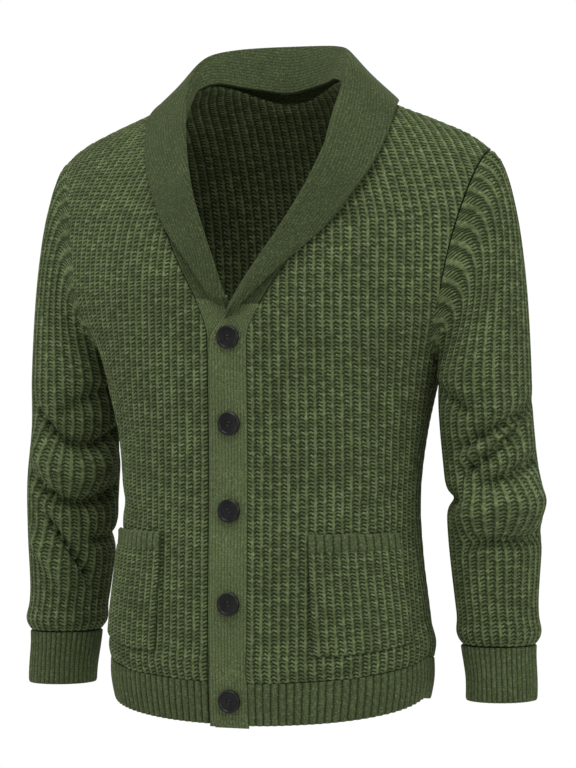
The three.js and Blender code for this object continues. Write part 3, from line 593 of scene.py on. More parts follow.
def back_sheet(count, rows_below, step, outer):
    columns = np.linspace(-1, 1, count + 1)
    share = columns * SIDE_SHARE
    foot = hem_bottom(share, True) + HEM_TALL + SEAM
    tops = back_tops(columns)
    heights, last = heights_to(foot, tops, rows_below, step)
    courses = courses_at(foot, heights, COURSES_BELOW)
    wales = ribs_across(torso(share[:, None], heights, True), count // 2, BACK_MIDDLE_RIB)
    level = blouse(heights, foot[:, None]) + drape_at(BACK_DRAPES, share[:, None], heights)
    if outer:
        soft = ends_soft(heights, tops, foot)
        level = with_stitches(level, wales, courses, soft)
    else:
        level = level - WALL
    points = torso_skin(np.broadcast_to(share[:, None], heights.shape), heights, True, level)
    return points, stack_knit(wales, courses), last


def back(name, material):
    shell = Shell(name)
    sides = []
    grids = ((252, 2 * COURSES_BELOW, COURSE / 2, True), (112, 30, 14.1, False))
    for count, rows_below, step, outer in grids:
        points, knit, tops = back_sheet(count, rows_below, step, outer)
        cut = round((1 + BACK_STEP) / 2 * count)
        breaks = (count - cut - 1, cut)
        number = shell.sheet(points, knit, tops, breaks=breaks, turned=not outer)
        sides.append(rim(number, tops, breaks))
    shell.close(sides)
    return shell.object(material)


def hem(name, side, material):
    """Ribbed hem under a front (side 1 or -1) or under the back (side 0)."""
    behind = side == 0
    ribs = BACK_RIBS if behind else FRONT_RIBS
    shell = Shell(name)
    sides = []
    for per_rib, rows, outer in ((6, 24, True), (2, 6, False)):
        columns = np.linspace(-1 if behind else 0, 1, ribs * per_rib + 1)
        share = columns * SIDE_SHARE if behind else front_share(columns, CHEST_Z, side)
        low = hem_bottom(share, behind)
        up = np.linspace(0, 1, rows + 1)
        heights = low[:, None] + HEM_TALL * up[None]
        along = (columns + 1) / 2 if behind else columns
        wales = np.broadcast_to(along[:, None] * ribs, heights.shape)
        round_off = up[None] * HEM_TALL
        level = 0.5 * np.sin(up * math.pi)[None] - 0.8 * (1 - ease(round_off / 2.5))
        if outer:
            a = wales % 1
            level = level + 1.9 * (0.5 - 0.5 * np.cos(2 * math.pi * a)) ** 0.7 - 0.3
        else:
            level = level - WALL
        if behind:
            points = torso_skin(np.broadcast_to(share[:, None], heights.shape), heights, True, level)
        else:
            wide = front_share(columns[:, None], heights, side)
            x = torso(wide, heights, False)[..., 0]
            points = torso_skin(wide, heights, False, level + lap_at(x, side))
            points[..., 0] *= side
        number = shell.sheet(points, stack_knit(wales, up[None] * 15), turned=not outer)
        sides.append(plain_rim(number))
    shell.close(sides)
    return shell.object(material)


def armhole(turn, back_in):
    """Share, height and side of the armhole edge, from the shoulder round the front, underarm and back."""
    turn = np.asarray(turn, float) % 1
    behind = turn > 0.5
    half = np.where(behind, 1 - turn, turn)
    share = ARM_SHARE + back_in / QUARTER
    top = torso_top(ARM_SHARE, behind)
    long, low = top - CHEST_Z, 96
    along = half * 2 * (long + low)
    angle = np.clip((along - long) / low, 0, 1) * math.pi / 2
    under = along > long
    drop = CHEST_Z - UNDERARM_Z
    share_under = np.minimum(0.9995, 1 - (1 - share) * np.cos(angle))
    height_under = CHEST_Z - (drop - back_in) * np.sin(angle)
    return np.where(under, share_under, share), np.where(under, height_under, top - along), behind


def arm_ring(turn, z):
    angle = turn * 2 * math.pi
    x = read(ARM, 1, z) + read(ARM, 3, z) * np.cos(angle)
    return stack(x, read(ARM, 2, z) - read(ARM, 4, z) * np.sin(angle), z)


def sleeve_line(turn, part):
    """Sleeve point at a turn and a part: 0 to 1 above the underarm, 1 to 3 down the arm to the cuff."""
    turn, part = np.broadcast_arrays(np.asarray(turn, float), np.asarray(part, float))
    low = arm_ring(turn, mix(ARM_TOP_Z, CUFF_Z, np.clip((part - 1) / 2, 0, 1)))
    start = torso(*armhole(turn, 0.05))
    end = arm_ring(turn, np.full(turn.shape, float(ARM_TOP_Z)))
    far = np.linalg.norm(end - start, axis=-1)[..., None]
    outer = ((1 + np.cos(turn * 2 * math.pi)) / 2)[..., None]
    lead = unit(torso(*armhole(turn, 2 * SEAM + 3)) - start)
    pull = np.concatenate([-0.03 * outer, 0 * outer, np.ones(outer.shape)], axis=-1)
    p1 = start + lead * far * mix(0.6, 0.16, outer)
    p2 = end + pull * far * mix(0.25, 0.5, outer)
    t = np.clip(part, 0, 1)[..., None]
    cap = (1 - t) ** 3 * start + 3 * (1 - t) ** 2 * t * p1 + 3 * (1 - t) * t * t * p2 + t**3 * end
    return np.where((part >= 1)[..., None], low, cap)


def sleeve_out(turn, part):
    around = sleeve_line(turn + 0.004, part) - sleeve_line(turn - 0.004, part)
    down = sleeve_line(turn, np.minimum(3, part + 0.02)) - sleeve_line(turn, np.maximum(0, part - 0.02))
    free = unit(np.cross(around, down))
    at_edge = torso_out(*armhole(turn, 0.05))
    return unit(mix(at_edge, free, ease(part / 0.08)[..., None]))


def fold_depth(turn, side):
    """The folds are deepest where the arm bends, at its front."""
    angle = turn * 2 * math.pi
    return 1.3 + 1.2 * np.clip(0.93 * np.sin(angle) + side * 0.37 * np.cos(angle), 0, 1)


def fold_at(folds, turn, z):
    """Level of a sleeve's folds in mm, before their depth is scaled; a crease is sharper at its middle."""
    total = np.zeros(np.broadcast(turn, z).shape)
    for middle_turn, middle_z, span, rise, bow, width, depth in folds:
        q = (((turn * 360 - middle_turn + 540) % 360) - 180) / span
        middle = middle_z + rise * q + bow * 4 * q * q
        fade = (1 - ease((np.abs(q) - 0.3) / 0.32)) * (np.abs(q) < 0.62)
        away = np.abs(z - middle) / width
        crease = 0.6 * np.exp(-(away**2)) + 0.5 * np.exp(-((away / 0.5) ** 2))
        total += depth * fade * (crease if depth < 0 else np.exp(-(away**2)))
    return total


def sleeve_parts(turns, step):
    """Parts and course counts of the sleeve's rows from the cuff upwards, and the row that ends each rib.

    Rows are evenly far apart along each rib and cut at the armhole.
    """
    fine = np.linspace(0, 1, 161)
    cap = sleeve_line(turns[:, None], fine[None])
    lengths = np.linalg.norm(np.diff(cap, axis=1), axis=-1)
    climbed = np.concatenate([np.zeros((len(turns), 1)), np.cumsum(lengths[:, ::-1], axis=1)], axis=1)
    total = climbed[:, -1]
    down_rows = int(round((ARM_TOP_Z - CUFF_Z) / step))
    up_rows = int(math.ceil(total.max() / step)) + 1
    above = np.arange(1, up_rows + 1) * step
    up = np.stack([np.interp(above, climbed[i], fine[::-1]) for i in range(len(turns))])
    down = np.broadcast_to(3 - 2 * np.arange(down_rows + 1) / down_rows, (len(turns), down_rows + 1))
    last = down_rows + np.clip(np.ceil(total / step - 0.35), 1, up_rows).astype(int)
    parts = np.concatenate([down, up], axis=1)
    parts[np.arange(len(turns)), last] = 0
    past = np.arange(parts.shape[1])[None] > last[:, None]
    climb = np.concatenate([[0], np.arange(1, down_rows + 1) * step, down_rows * step + above])
    courses = np.minimum(climb[None], (down_rows * step + total)[:, None]) / COURSE
    return np.where(past, 0, parts), courses, last


def sleeve(name, side, folds, material):
    shell = Shell(name)
    ends = []
    for per_rib, step, outer in ((7, COURSE / 3, True), (1, 11.0, False)):
        count = SLEEVE_RIBS * per_rib
        turns = np.arange(count) / count
        parts, courses, last = sleeve_parts(turns, step)
        turn = np.broadcast_to(turns[:, None], parts.shape)
        line = sleeve_line(turn, parts)
        z = line[..., 2]
        fold = fold_at(folds, turn, z) * ease((parts - 0.8) / 0.4)
        over_cuff = z - CUFF_Z
        level = fold * fold_depth(turn, side) + 3.0 * np.exp(-(((over_cuff - 13) / 11) ** 2))
        level = level - 1.6 * np.exp(-((over_cuff / 5) ** 2))
        angle = turn * 2 * math.pi
        wales = (turn + 0.02 * np.sin(angle) * (1 - ease(parts))) * SLEEVE_RIBS
        if outer:
            soft = ease(parts / 0.03 + 0.1) * ease(over_cuff / 4 + 0.3)
            level = with_stitches(level, wales, courses, soft)
        else:
            level = level - WALL
        points = line + sleeve_out(turn, parts) * level[..., None]
        points[..., 0] *= side
        number = shell.sheet(points, stack_knit(wales, courses), last, closed=True, turned=not outer)
        ring = np.append(np.arange(count), 0)
        ends.append((number[ring, 0], number[ring, last[ring]]))
    return tube(shell, ends, SLEEVE_RIBS, material)


def tube(shell, ends, ribs, material):
    """Finishes an open tube: walls at both ends and a knit map that closes round it."""
    (outer_foot, outer_top), (inner_foot, inner_top) = ends
    shell.wall(outer_foot, inner_foot)
    shell.wall(outer_top[::-1], inner_top[::-1])
    piece = shell.object(material)
    close_knit_ring(piece, ribs)
    return piece


def close_knit_ring(piece, ribs):
    """On the last column of a tube the rib count runs on instead of falling back to nought."""
    layer = piece.data.uv_layers["knit"].data
    knit = np.zeros(len(layer) * 2, np.float32)
    layer.foreach_get("uv", knit)
    knit = knit.reshape(-1, 3, 2)
    wraps = np.ptp(knit[..., 0], axis=1) > ribs / 2
    wrapped = knit[wraps]
    wrapped[..., 0] = np.where(wrapped[..., 0] < ribs / 2, wrapped[..., 0] + ribs, wrapped[..., 0])
    knit[wraps] = wrapped
    layer.foreach_set("uv", knit.ravel())


def cuff(name, side, material):
    shell = Shell(name)
    ends = []
    for per_rib, rows, outer in ((6, 40, True), (1, 6, False)):
        count = CUFF_RIBS * per_rib
        turn = (np.arange(count) / count)[:, None]
        up = np.linspace(0, 1, rows + 1)[None]
        z = mix(CUFF_END_Z, CUFF_TOP_Z, up) + 0 * turn
        wales = turn * CUFF_RIBS + 0 * z
        level = -0.9 * (1 - ease(np.minimum(up, 1.02 - up) * CUFF_TALL / 2.5))
        level = level + 0.7 * np.sin(7 * turn + 5 * up)
        if outer:
            level = level + 1.35 * (0.5 - 0.5 * np.cos(2 * math.pi * (wales % 1))) ** 0.6
        else:
            level = level - WALL
        angle = turn * 2 * math.pi
        x = read(ARM, 1, z) + (read(ARM, 3, z) + level) * np.cos(angle)
        y = read(ARM, 2, z) - (read(ARM, 4, z) + level) * np.sin(angle)
        points = stack(side * x, y, z)
        number = shell.sheet(points, stack_knit(wales, up * 20), closed=True, turned=not outer)
        ring = np.append(np.arange(count), 0)
        ends.append((number[ring, 0], number[ring, rows]))
    return tube(shell, ends, CUFF_RIBS, material)


def band(name, side, material):
    """Front band: one edge lies beside the front's seam, the free one leans into the roll line at the V."""
    end = -246 if side > 0 else -236.6
    low, high = (1.0, 4.2) if side > 0 else (-WALL, 0.4)
    shell = Shell(name)
    sides = []
    for per_rib, rows, outer in ((5, 220, True), (1, 60, False)):
        column = np.linspace(0, 1, BAND_RIBS * per_rib + 1)[:, None]
        z = np.linspace(BAND_FOOT_Z, end, rows + 1)[None] + 0 * column
        seam_x = np.maximum(LEFT_START if side > 0 else RIGHT_START, neck_x(side, z))
        seam_x = side * (seam_x - SEAM)
        free = mix(-23 if side > 0 else 16, 0.5 if side > 0 else -3, ease((z + 292) / 46) ** 1.4)
        foot = z - BAND_FOOT_Z
        free = free + side * 5 * np.clip(1 - foot / BAND_CORNER, 0, 1) ** 2.5
        x = mix(free, seam_x, column)
        edge = np.minimum(np.abs(x - free), np.abs(seam_x - x) * 1.2)
        edge = np.minimum(edge, foot)
        soft = 1 - ease(edge / 2.6)
        wales = column * BAND_RIBS + 0 * z
        if outer:
            level = high - 1.5 * soft + 0.28 * (0.5 - 0.5 * np.cos(2 * math.pi * wales)) * (1 - soft)
            level = level + 0.5 * np.sin(z / 31) * (1 - soft)
            if side > 0:
                for place in BUTTON_Z:
                    level = level - 0.9 * np.exp(-((np.hypot(x, z - place) / 15) ** 2))
        else:
            level = low + 0.4 * soft
        points = torso_skin(share_at(x, z), z, False, level)
        number = shell.sheet(points, stack_knit(wales, z / FINE_COURSE), turned=not outer)
        sides.append(plain_rim(number))
    shell.close(sides)
    return shell.object(material)


def pocket(name, side, materials):
    """Patch pocket in the chunky knit with a plain band along its top, which has the second material."""
    inner_share = float(share_at(POCKET_INNER_X, POCKET_MIDDLE_Z))
    outer_share = inner_share + POCKET_WIDE / QUARTER
    band_foot = POCKET_TALL - POCKET_BAND
    shell = Shell(name)
    sides = []
    for per_rib, rows, outer in ((6, 81, True), (1, 16, False)):
        column = np.linspace(0, 1, POCKET_WALES * per_rib + 1)[:, None]
        up = np.linspace(0, 1, rows + 1)[None]
        share = mix(inner_share, outer_share, column) + 0 * up
        low = POCKET_FOOT_Z + POCKET_LIFT * column**2
        height = mix(low, POCKET_TOP_Z, up)
        wales = column * POCKET_WALES + 0 * up
        courses = up * POCKET_TALL / COURSE + 0 * column
        edge = np.minimum(np.minimum(column, 1 - column) * POCKET_WIDE, np.minimum(up, 1 - up) * POCKET_TALL)
        soft = 1 - ease(edge / 3)
        drape = drape_at(FRONT_DRAPES, side * share, height)
        level = drape + 0.8 * np.sin(up * math.pi) * np.sin(column * math.pi)
        if outer:
            in_band = ease((up * POCKET_TALL - band_foot) / 1.5)
            flat = 0.9 + 0.25 * np.cos(2 * math.pi * wales * 2)
            relief = mix(stitch_height(wales, courses), flat + 0 * wales, in_band)
            ditch = 0.9 * np.exp(-(((up * POCKET_TALL - band_foot) / 1.1) ** 2))
            level = level + 6.0 + (relief - ditch) * (1 - soft) - 1.0 * soft
        else:
            level = level + 2.7
        points = torso_skin(share, height, False, level)
        points[..., 0] *= side
        number = shell.sheet(points, stack_knit(wales, courses), turned=not outer)
        sides.append(plain_rim(number))
    shell.close(sides)
    piece = shell.object(materials[0])
    piece.data.materials.append(materials[1])
    knit = np.zeros(len(piece.data.loops) * 2, np.float32)
    piece.data.uv_layers["knit"].data.foreach_get("uv", knit)
    middle = knit.reshape(-1, 3, 2)[..., 1].mean(axis=1)
    plain = middle > band_foot / COURSE
    piece.data.polygons.foreach_set("material_index", plain.astype(np.int32))
    return piece


def neck_edge(side, z):
    """x of the front rib beside the neck at wanted heights."""
    column = np.full(z.shape, LEFT_NECK if side > 0 else RIGHT_NECK)
    share = front_share(column, CHEST_Z, side)
    low, high = np.full(z.shape, float(CHEST_Z)), torso_top(share, False)
    for _ in range(24):
        middle = (low + high) / 2
        under = torso(share, middle, False)[..., 2] < z
        low, high = np.where(under, middle, low), np.where(under, high, middle)
    return torso(share, low, False)[..., 0]


def kept_clear(points, out):
    """Points moved out to a least level over the torso."""
    behind = points[:, 1] > RIDGE_Y
    share, height = nearest(points, behind)
    base, n = torso(share, height, behind), torso_out(share, height, behind)
    level = np.einsum("ij,ij->i", points - base, n)
    return np.where((level < out)[:, None], base + n * np.reshape(out, (-1, 1)), points)


def collar_lines():
    """Control lines of the collar from one end to the other: stand, roll and fall, nine points each."""
    part = np.arange(-15, 16) / 15
    side = np.where(part < 0, -1, 1)
    u = np.minimum(np.abs(part), np.where(side < 0, 0.975, 1))
    get = [read(COLLAR, k, u) for k in range(10)]
    roll = stack(side * get[1] + read(NECK_SET, 1, get[3]), get[2], get[3])
    free = stack(side * get[4] + read(NECK_SET, 1, get[6]), get[5], get[6])
    sx, sy, sz = get[7:10]
    low_x = np.where(side > 0, neck_x(1, sz), neck_x(-1, sz)) - 1.8
    edge_x = np.where(side > 0, neck_edge(1, sz), neck_edge(-1, sz)) - 1.8
    seam_x = np.where(sz <= -160, low_x, np.where(sy < 0, edge_x, sx))
    low = np.where(side > 0, LAP * ease((u - 0.7) / 0.3), 0)
    behind = sy > RIDGE_Y
    share, height = nearest(stack(side * seam_x, sy, sz), behind)
    seam = torso_skin(share, height, behind, low - 1)
    lift = 5 + low
    fall_end = kept_clear(free, lift)
    fall_one = kept_clear(mix(roll, fall_end, 0.4), lift + 1.5)
    fall_two = kept_clear(mix(roll, fall_end, 0.72), lift + 0.5)
    crest = unit(roll - mix(seam, fall_two, 0.5))
    apart = fall_one - mix(seam, roll, 0.6)
    out = unit(apart - crest * np.einsum("ij,ij->i", apart, crest)[:, None])
    lines = (
        seam, mix(seam, roll - out * 2.6, 0.34), mix(seam, roll - out * 2.6, 0.7),
        roll - out * 2.4 - crest * 2, roll + crest, roll + out * 2.4 - crest * 2,
        fall_one, fall_two, fall_end,
    )
    return np.stack(lines, axis=1)


def through(lines, fine):
    """Smooth curves through the points of each line, with the same number of points on every span."""
    count = lines.shape[1]
    at = np.linspace(0, count - 1, (count - 1) * fine + 1)
    gaps = np.maximum(np.linalg.norm(np.diff(lines, axis=1), axis=-1), 1e-6)
    keys = np.concatenate([np.zeros((len(lines), 1)), np.cumsum(gaps, axis=1)], axis=1)[..., None]
    i = np.clip(at.astype(int), 0, count - 2)
    t = (at - i)[None, :, None]
    before, after = np.maximum(i - 1, 0), np.minimum(i + 2, count - 1)
    a, b = lines[:, i], lines[:, i + 1]
    span = keys[:, i + 1] - keys[:, i]
    leave = (b - lines[:, before]) / (keys[:, i + 1] - keys[:, before]) * span
    arrive = (lines[:, after] - a) / (keys[:, after] - keys[:, i]) * span
    first = (2 * t**3 - 3 * t**2 + 1) * a + (t**3 - 2 * t**2 + t) * leave
    return first + (3 * t**2 - 2 * t**3) * b + (t**3 - t**2) * arrive


def run_out(end, sink, length):
    """Stations past an end of the collar, given from the end inwards, that sink into the band below."""
    way = unit(end[0] - end[-1])
    far = np.linspace(0, 1, 11)[1:, None, None]
    return end[0] + way * far * length + np.array([0, sink, 0]) * ease(far)


def collar(name, material):
    """Shawl collar: a folded sheet from the neckline seam up the stand, over the roll and down the fall."""
    along = through(collar_lines().transpose(1, 0, 2), 9).transpose(1, 0, 2)
    surface = through(along, 8)
    starts, ends = run_out(surface[:7], 9, 16)[::-1], run_out(surface[:-8:-1], 8, 22)
    surface = np.concatenate([starts, surface, ends])
    down = np.gradient(surface, axis=1)
    ahead = np.gradient(surface, axis=0)
    n = unit(np.cross(down, ahead))
    across = np.cumsum(np.linalg.norm(np.diff(surface, axis=1), axis=-1), axis=1)
    across = np.concatenate([np.zeros((len(surface), 1)), across], axis=1)
    run = np.concatenate([[0], np.cumsum(np.linalg.norm(np.diff(surface[:, 44], axis=0), axis=-1))])
    to_edge = across[:, -1:] - across
    half = 1.45 - 0.75 * (1 - ease(to_edge / 3.0))
    wave = 0.7 * np.sin(run[:, None] / 37 + to_edge / 60) * ease(to_edge / 10) * ease((across - 12) / 20)
    wales = across / FINE_RIB
    ribs = 0.22 * np.cos(2 * math.pi * wales)
    knit = stack_knit(wales, run[:, None] / FINE_COURSE)
    shell = Shell(name)
    sides = []
    for level, turned in ((half + wave + ribs, False), (-half + wave, True)):
        number = shell.sheet(surface + n * level[..., None], knit, turned=turned)
        sides.append(plain_rim(number))
    shell.close(sides)
    return shell.object(material)


class Tree:
    """Short way to add shader nodes and link them."""

    def __init__(self, tree):
        self.tree = tree

    def node(self, kind, **settings):
        made = self.tree.nodes.new(kind)
        for key, value in settings.items():
            setattr(made, key, value)
        return made

    def feed(self, socket, value):
        if isinstance(value, bpy.types.NodeSocket):
            self.tree.links.new(value, socket)
        else:
            socket.default_value = value

    def math(self, operation, *values):
        made = self.node("ShaderNodeMath", operation=operation)
        for socket, value in zip(made.inputs, values):
            self.feed(socket, value)
        return made.outputs[0]

    def ramp(self, value, low, high, to_low=0.0, to_high=1.0):
        made = self.node("ShaderNodeMapRange", interpolation_type="SMOOTHSTEP")
        for socket, given in zip(made.inputs, (value, low, high, to_low, to_high)):
            self.feed(socket, given)
        return made.outputs[0]

    def mix(self, share, a, b, blend="MIX"):
        made = self.node("ShaderNodeMix", data_type="RGBA", blend_type=blend)
        self.feed(made.inputs["Factor"], share)
        self.feed(made.inputs[6], a)
        self.feed(made.inputs[7], b)
        return made.outputs[2]

    def noise(self, vector, scale, detail=2.0, rough=0.5):
        made = self.node("ShaderNodeTexNoise")
        self.feed(made.inputs["Vector"], vector)
        self.feed(made.inputs["Scale"], scale)
        made.inputs["Detail"].default_value = detail
        made.inputs["Roughness"].default_value = rough
        return made.outputs["Fac"]

    def point(self, x, y, z=0.0):
        made = self.node("ShaderNodeCombineXYZ")
        for socket, value in zip(made.inputs, (x, y, z)):
            self.feed(socket, value)
        return made.outputs[0]


def node_group(name, inputs, outputs):
    """New shader node group with named sockets; gives its tree, its inputs and its output node."""
    group = bpy.data.node_groups.new(name, "ShaderNodeTree")
    for label, kind, value in inputs:
        socket = group.interface.new_socket(label, in_out="INPUT", socket_type=kind)
        socket.default_value = value
    for label, kind in outputs:
        group.interface.new_socket(label, in_out="OUTPUT", socket_type=kind)
    tree = Tree(group)
    return tree, tree.node("NodeGroupInput").outputs, tree.node("NodeGroupOutput").inputs


def make_chunky_stitches():
    """Ridges, loops and holes of the chunky knit from wale and course counts, painted shade in the holes,
    each stitch's tone.
    """
    tree, given, out = node_group(
        "chunky_stitches",
        [
            ("Wales", "NodeSocketFloat", 0.0), ("Courses", "NodeSocketFloat", 0.0),
            ("Unevenness", "NodeSocketFloat", 0.14),
        ],
        [("Height", "NodeSocketFloat"), ("Hole shade", "NodeSocketFloat"), ("Own tone", "NodeSocketFloat")],
    )
    place = tree.point(given["Wales"], given["Courses"])
    stitch_number = tree.point(
        tree.math("FLOOR", tree.math("ADD", given["Wales"], 1 - GROOVE_AT)),
        tree.math("FLOOR", given["Courses"]),
    )
    own = tree.node("ShaderNodeTexWhiteNoise", noise_dimensions="2D")
    tree.feed(own.inputs["Vector"], stitch_number)
    tree.feed(out["Own tone"], tree.ramp(own.outputs["Value"], 0.0, 1.0, 0.72, 1.2))
    uneven = given["Unevenness"]
    sway = tree.math("MULTIPLY", tree.math("SUBTRACT", tree.noise(place, 0.8, 1.0), 0.5), uneven)
    lift = tree.math("MULTIPLY", tree.math("SUBTRACT", tree.noise(place, 0.45, 1.0), 0.5), uneven)
    a = tree.math("FRACT", tree.math("ADD", given["Wales"], sway))
    b = tree.math("FRACT", tree.math("ADD", given["Courses"], tree.math("MULTIPLY", lift, 3.0)))
    off_ridge = tree.math("DIVIDE", tree.math("SUBTRACT", a, RIDGE_AT), RIDGE_HALF)
    ridge = tree.math("MAXIMUM", tree.math("SUBTRACT", 1.0, tree.math("MULTIPLY", off_ridge, off_ridge)), 0.0)
    from_ridge = tree.math("SUBTRACT", tree.math("FRACT", tree.math("ADD", a, 1 - GROOVE_AT)), LEFT_LEG)
    left_leg = tree.math("DIVIDE", from_ridge, -LEFT_LEG)
    right_leg = tree.math("DIVIDE", from_ridge, RIGHT_LEG)
    leg = tree.math("MAXIMUM", left_leg, right_leg)
    rise = tree.math("MULTIPLY_ADD", tree.math("POWER", leg, LOOP_BEND), LOOP_CLIMB, LOOP_FOOT)
    away = tree.math("ABSOLUTE", tree.math("SUBTRACT", b, rise))
    away = tree.math("DIVIDE", tree.math("MINIMUM", away, tree.math("SUBTRACT", 1.0, away)), LOOP_HALF)
    loop = tree.math("MAXIMUM", tree.math("SUBTRACT", 1.0, tree.math("MULTIPLY", away, away)), 0.0)
    loop = tree.math("MULTIPLY", loop, tree.ramp(from_ridge, 0.0, 0.2, 0.92, 0.42))
    height = tree.math("MAXIMUM", tree.math("MULTIPLY", ridge, RIDGE_LEVEL), loop)
    tree.feed(out["Height"], height)
    # Painted shade mask: one where the relief is low, in the holes between the loops.
    tree.feed(out["Hole shade"], tree.ramp(height, 0.05, 0.7, 1.0, 0.0))
    return tree.tree


def make_fine_rib():
    """Fine-gauge rib: rounded lines with small stitches along them, and a mask of painted shade in the
    grooves.
    """
    tree, given, out = node_group(
        "fine_rib",
        [("Wales", "NodeSocketFloat", 0.0), ("Courses", "NodeSocketFloat", 0.0)],
        [("Height", "NodeSocketFloat"), ("Groove shade", "NodeSocketFloat")],
    )
    place = tree.point(given["Wales"], given["Courses"])
    sway = tree.math("MULTIPLY", tree.math("SUBTRACT", tree.noise(place, 0.5, 1.0), 0.5), 0.25)
    a = tree.math("FRACT", tree.math("ADD", given["Wales"], sway))
    off = tree.math("MULTIPLY", tree.math("ABSOLUTE", tree.math("SUBTRACT", a, 0.5)), 2.0)
    line = tree.math("SUBTRACT", 1.0, tree.math("MULTIPLY", off, off))
    b = tree.math("FRACT", tree.math("ADD", given["Courses"], tree.math("MULTIPLY", off, 0.5)))
    stitch = tree.math("MULTIPLY", tree.math("ABSOLUTE", tree.math("SUBTRACT", b, 0.5)), 2.0)
    height = tree.math("MULTIPLY_ADD", stitch, -0.3, line)
    tree.feed(out["Height"], height)
    # Painted shade mask: one where the rib's relief is low, in the grooves.
    tree.feed(out["Groove shade"], tree.ramp(height, -0.1, 0.55, 1.0, 0.0))
    return tree.tree


def make_melange():
    """Heathered yarn: soft tone changes and light and dark flecks."""
    tree, given, out = node_group(
        "melange",
        [
            ("Yarn", "NodeSocketColor", (0.1, 0.14, 0.05, 1)),
            ("Light fleck", "NodeSocketColor", (0.2, 0.25, 0.1, 1)),
            ("Dark fleck", "NodeSocketColor", (0.03, 0.05, 0.01, 1)),
            ("Flecks", "NodeSocketFloat", 0.5),
            ("Grain", "NodeSocketFloat", 300.0),
        ],
        [("Color", "NodeSocketColor"), ("Fuzz", "NodeSocketFloat")],
    )
    place = tree.node("ShaderNodeTexCoord").outputs["Object"]
    broad = tree.noise(place, 22.0, 2.0)
    stitch = tree.noise(place, given["Grain"], 2.0, 0.6)
    fleck = tree.noise(place, 620.0, 3.0, 0.7)
    light = tree.ramp(stitch, 0.42, 0.72, 0.0, given["Flecks"])
    colour = tree.mix(light, given["Yarn"], given["Light fleck"])
    dark = tree.ramp(fleck, 0.5, 0.28, 0.0, given["Flecks"])
    colour = tree.mix(dark, colour, given["Dark fleck"])
    tone = tree.ramp(broad, 0.25, 0.75, 0.9, 1.08)
    colour = tree.mix(1.0, colour, tree.point(tone, tone, tone), "MULTIPLY")
    tree.feed(out["Color"], colour)
    tree.feed(out["Fuzz"], fleck)
    return tree.tree


def srgb(r, g, b):
    """Linear colour with full alpha from screen values up to 255."""
    def linear(v):
        v /= 255
        return v / 12.92 if v <= 0.04045 else ((v + 0.055) / 1.055) ** 2.4

    return (linear(r), linear(g), linear(b), 1)


# Yarn, light fleck and dark fleck of each knit, and a dark colour that is painted shade in the holes between
# stitches and the grooves of the rib.
YARN_SHADES = (srgb(95, 109, 70), srgb(138, 152, 110), srgb(54, 68, 34))
BAND_SHADES = (srgb(91, 104, 67), srgb(132, 145, 104), srgb(44, 55, 27))
# The collar's yarn is the band's yarn darkened: painted shade over the whole collar.
COLLAR_PAINTED_SHADE_YARN = (srgb(60, 71, 43), srgb(100, 112, 77), srgb(27, 35, 15))
RIB_SHADES = (srgb(77, 89, 56), srgb(118, 131, 93), srgb(35, 45, 21))
# Looks of the fine knits: flecks, grain, painted shade in the grooves, fuzz and bump distance in m.
BAND_LOOK = (0.8, 560.0, 0.55, 0.9, 0.0005)
RIB_LOOK = (0.7, 420.0, 0.8, 0.6, 0.0009)
# Painted shade: the dark colour mixed into the holes and grooves of the knit.
STITCH_GAP_PAINTED_SHADE = srgb(24, 33, 12)


def start_material(name):
    """New material with its node tree and its Principled shader."""
    material = bpy.data.materials.new(name)
    material.use_nodes = True
    tree = Tree(material.node_tree)
    shader = material.node_tree.nodes["Principled BSDF"]
    return material, tree, shader


def use_group(tree, group, **values):
    made = tree.node("ShaderNodeGroup", node_tree=group)
    for label, value in values.items():
        tree.feed(made.inputs[label.replace("_", " ")], value)
    return made


def knit_counts(tree):
    uv = tree.node("ShaderNodeUVMap", uv_map="knit").outputs[0]
    split = tree.node("ShaderNodeSeparateXYZ")
    tree.feed(split.inputs[0], uv)
    return split.outputs[0], split.outputs[1]


def yarn_surface(tree, shader, colour, height, strength, distance):
    tree.feed(shader.inputs["Base Color"], colour)
    bump = tree.node("ShaderNodeBump")
    bump.inputs["Strength"].default_value = strength
    bump.inputs["Distance"].default_value = distance
    tree.feed(bump.inputs["Height"], height)
    tree.feed(shader.inputs["Normal"], bump.outputs[0])
    shader.inputs["Roughness"].default_value = 0.92
    shader.inputs["Specular IOR Level"].default_value = 0.18
    shader.inputs["Sheen Weight"].default_value = 0.12
    shader.inputs["Sheen Roughness"].default_value = 0.6
    shader.inputs["Sheen Tint"].default_value = srgb(190, 205, 150)


def chunky_knit(stitches, melange):
    material, tree, shader = start_material("chunky_rib_knit")
    wales, courses = knit_counts(tree)
    pattern = use_group(tree, stitches, Wales=wales, Courses=courses, Unevenness=0.26)
    base, light, dark = YARN_SHADES
    yarn = use_group(tree, melange, Yarn=base, Light_fleck=light, Dark_fleck=dark, Flecks=0.6, Grain=330.0)
    tone = pattern.outputs["Own tone"]
    colour = tree.mix(1.0, yarn.outputs["Color"], tree.point(tone, tone, tone), "MULTIPLY")
    # Painted shade: the holes are mixed toward the dark stitch-gap colour.
    colour = tree.mix(tree.math("MULTIPLY", pattern.outputs["Hole shade"], 0.88), colour, STITCH_GAP_PAINTED_SHADE)
    fuzz = tree.math("MULTIPLY_ADD", yarn.outputs["Fuzz"], 0.3, pattern.outputs["Height"])
    yarn_surface(tree, shader, colour, fuzz, 0.6, 0.0012)
    return material


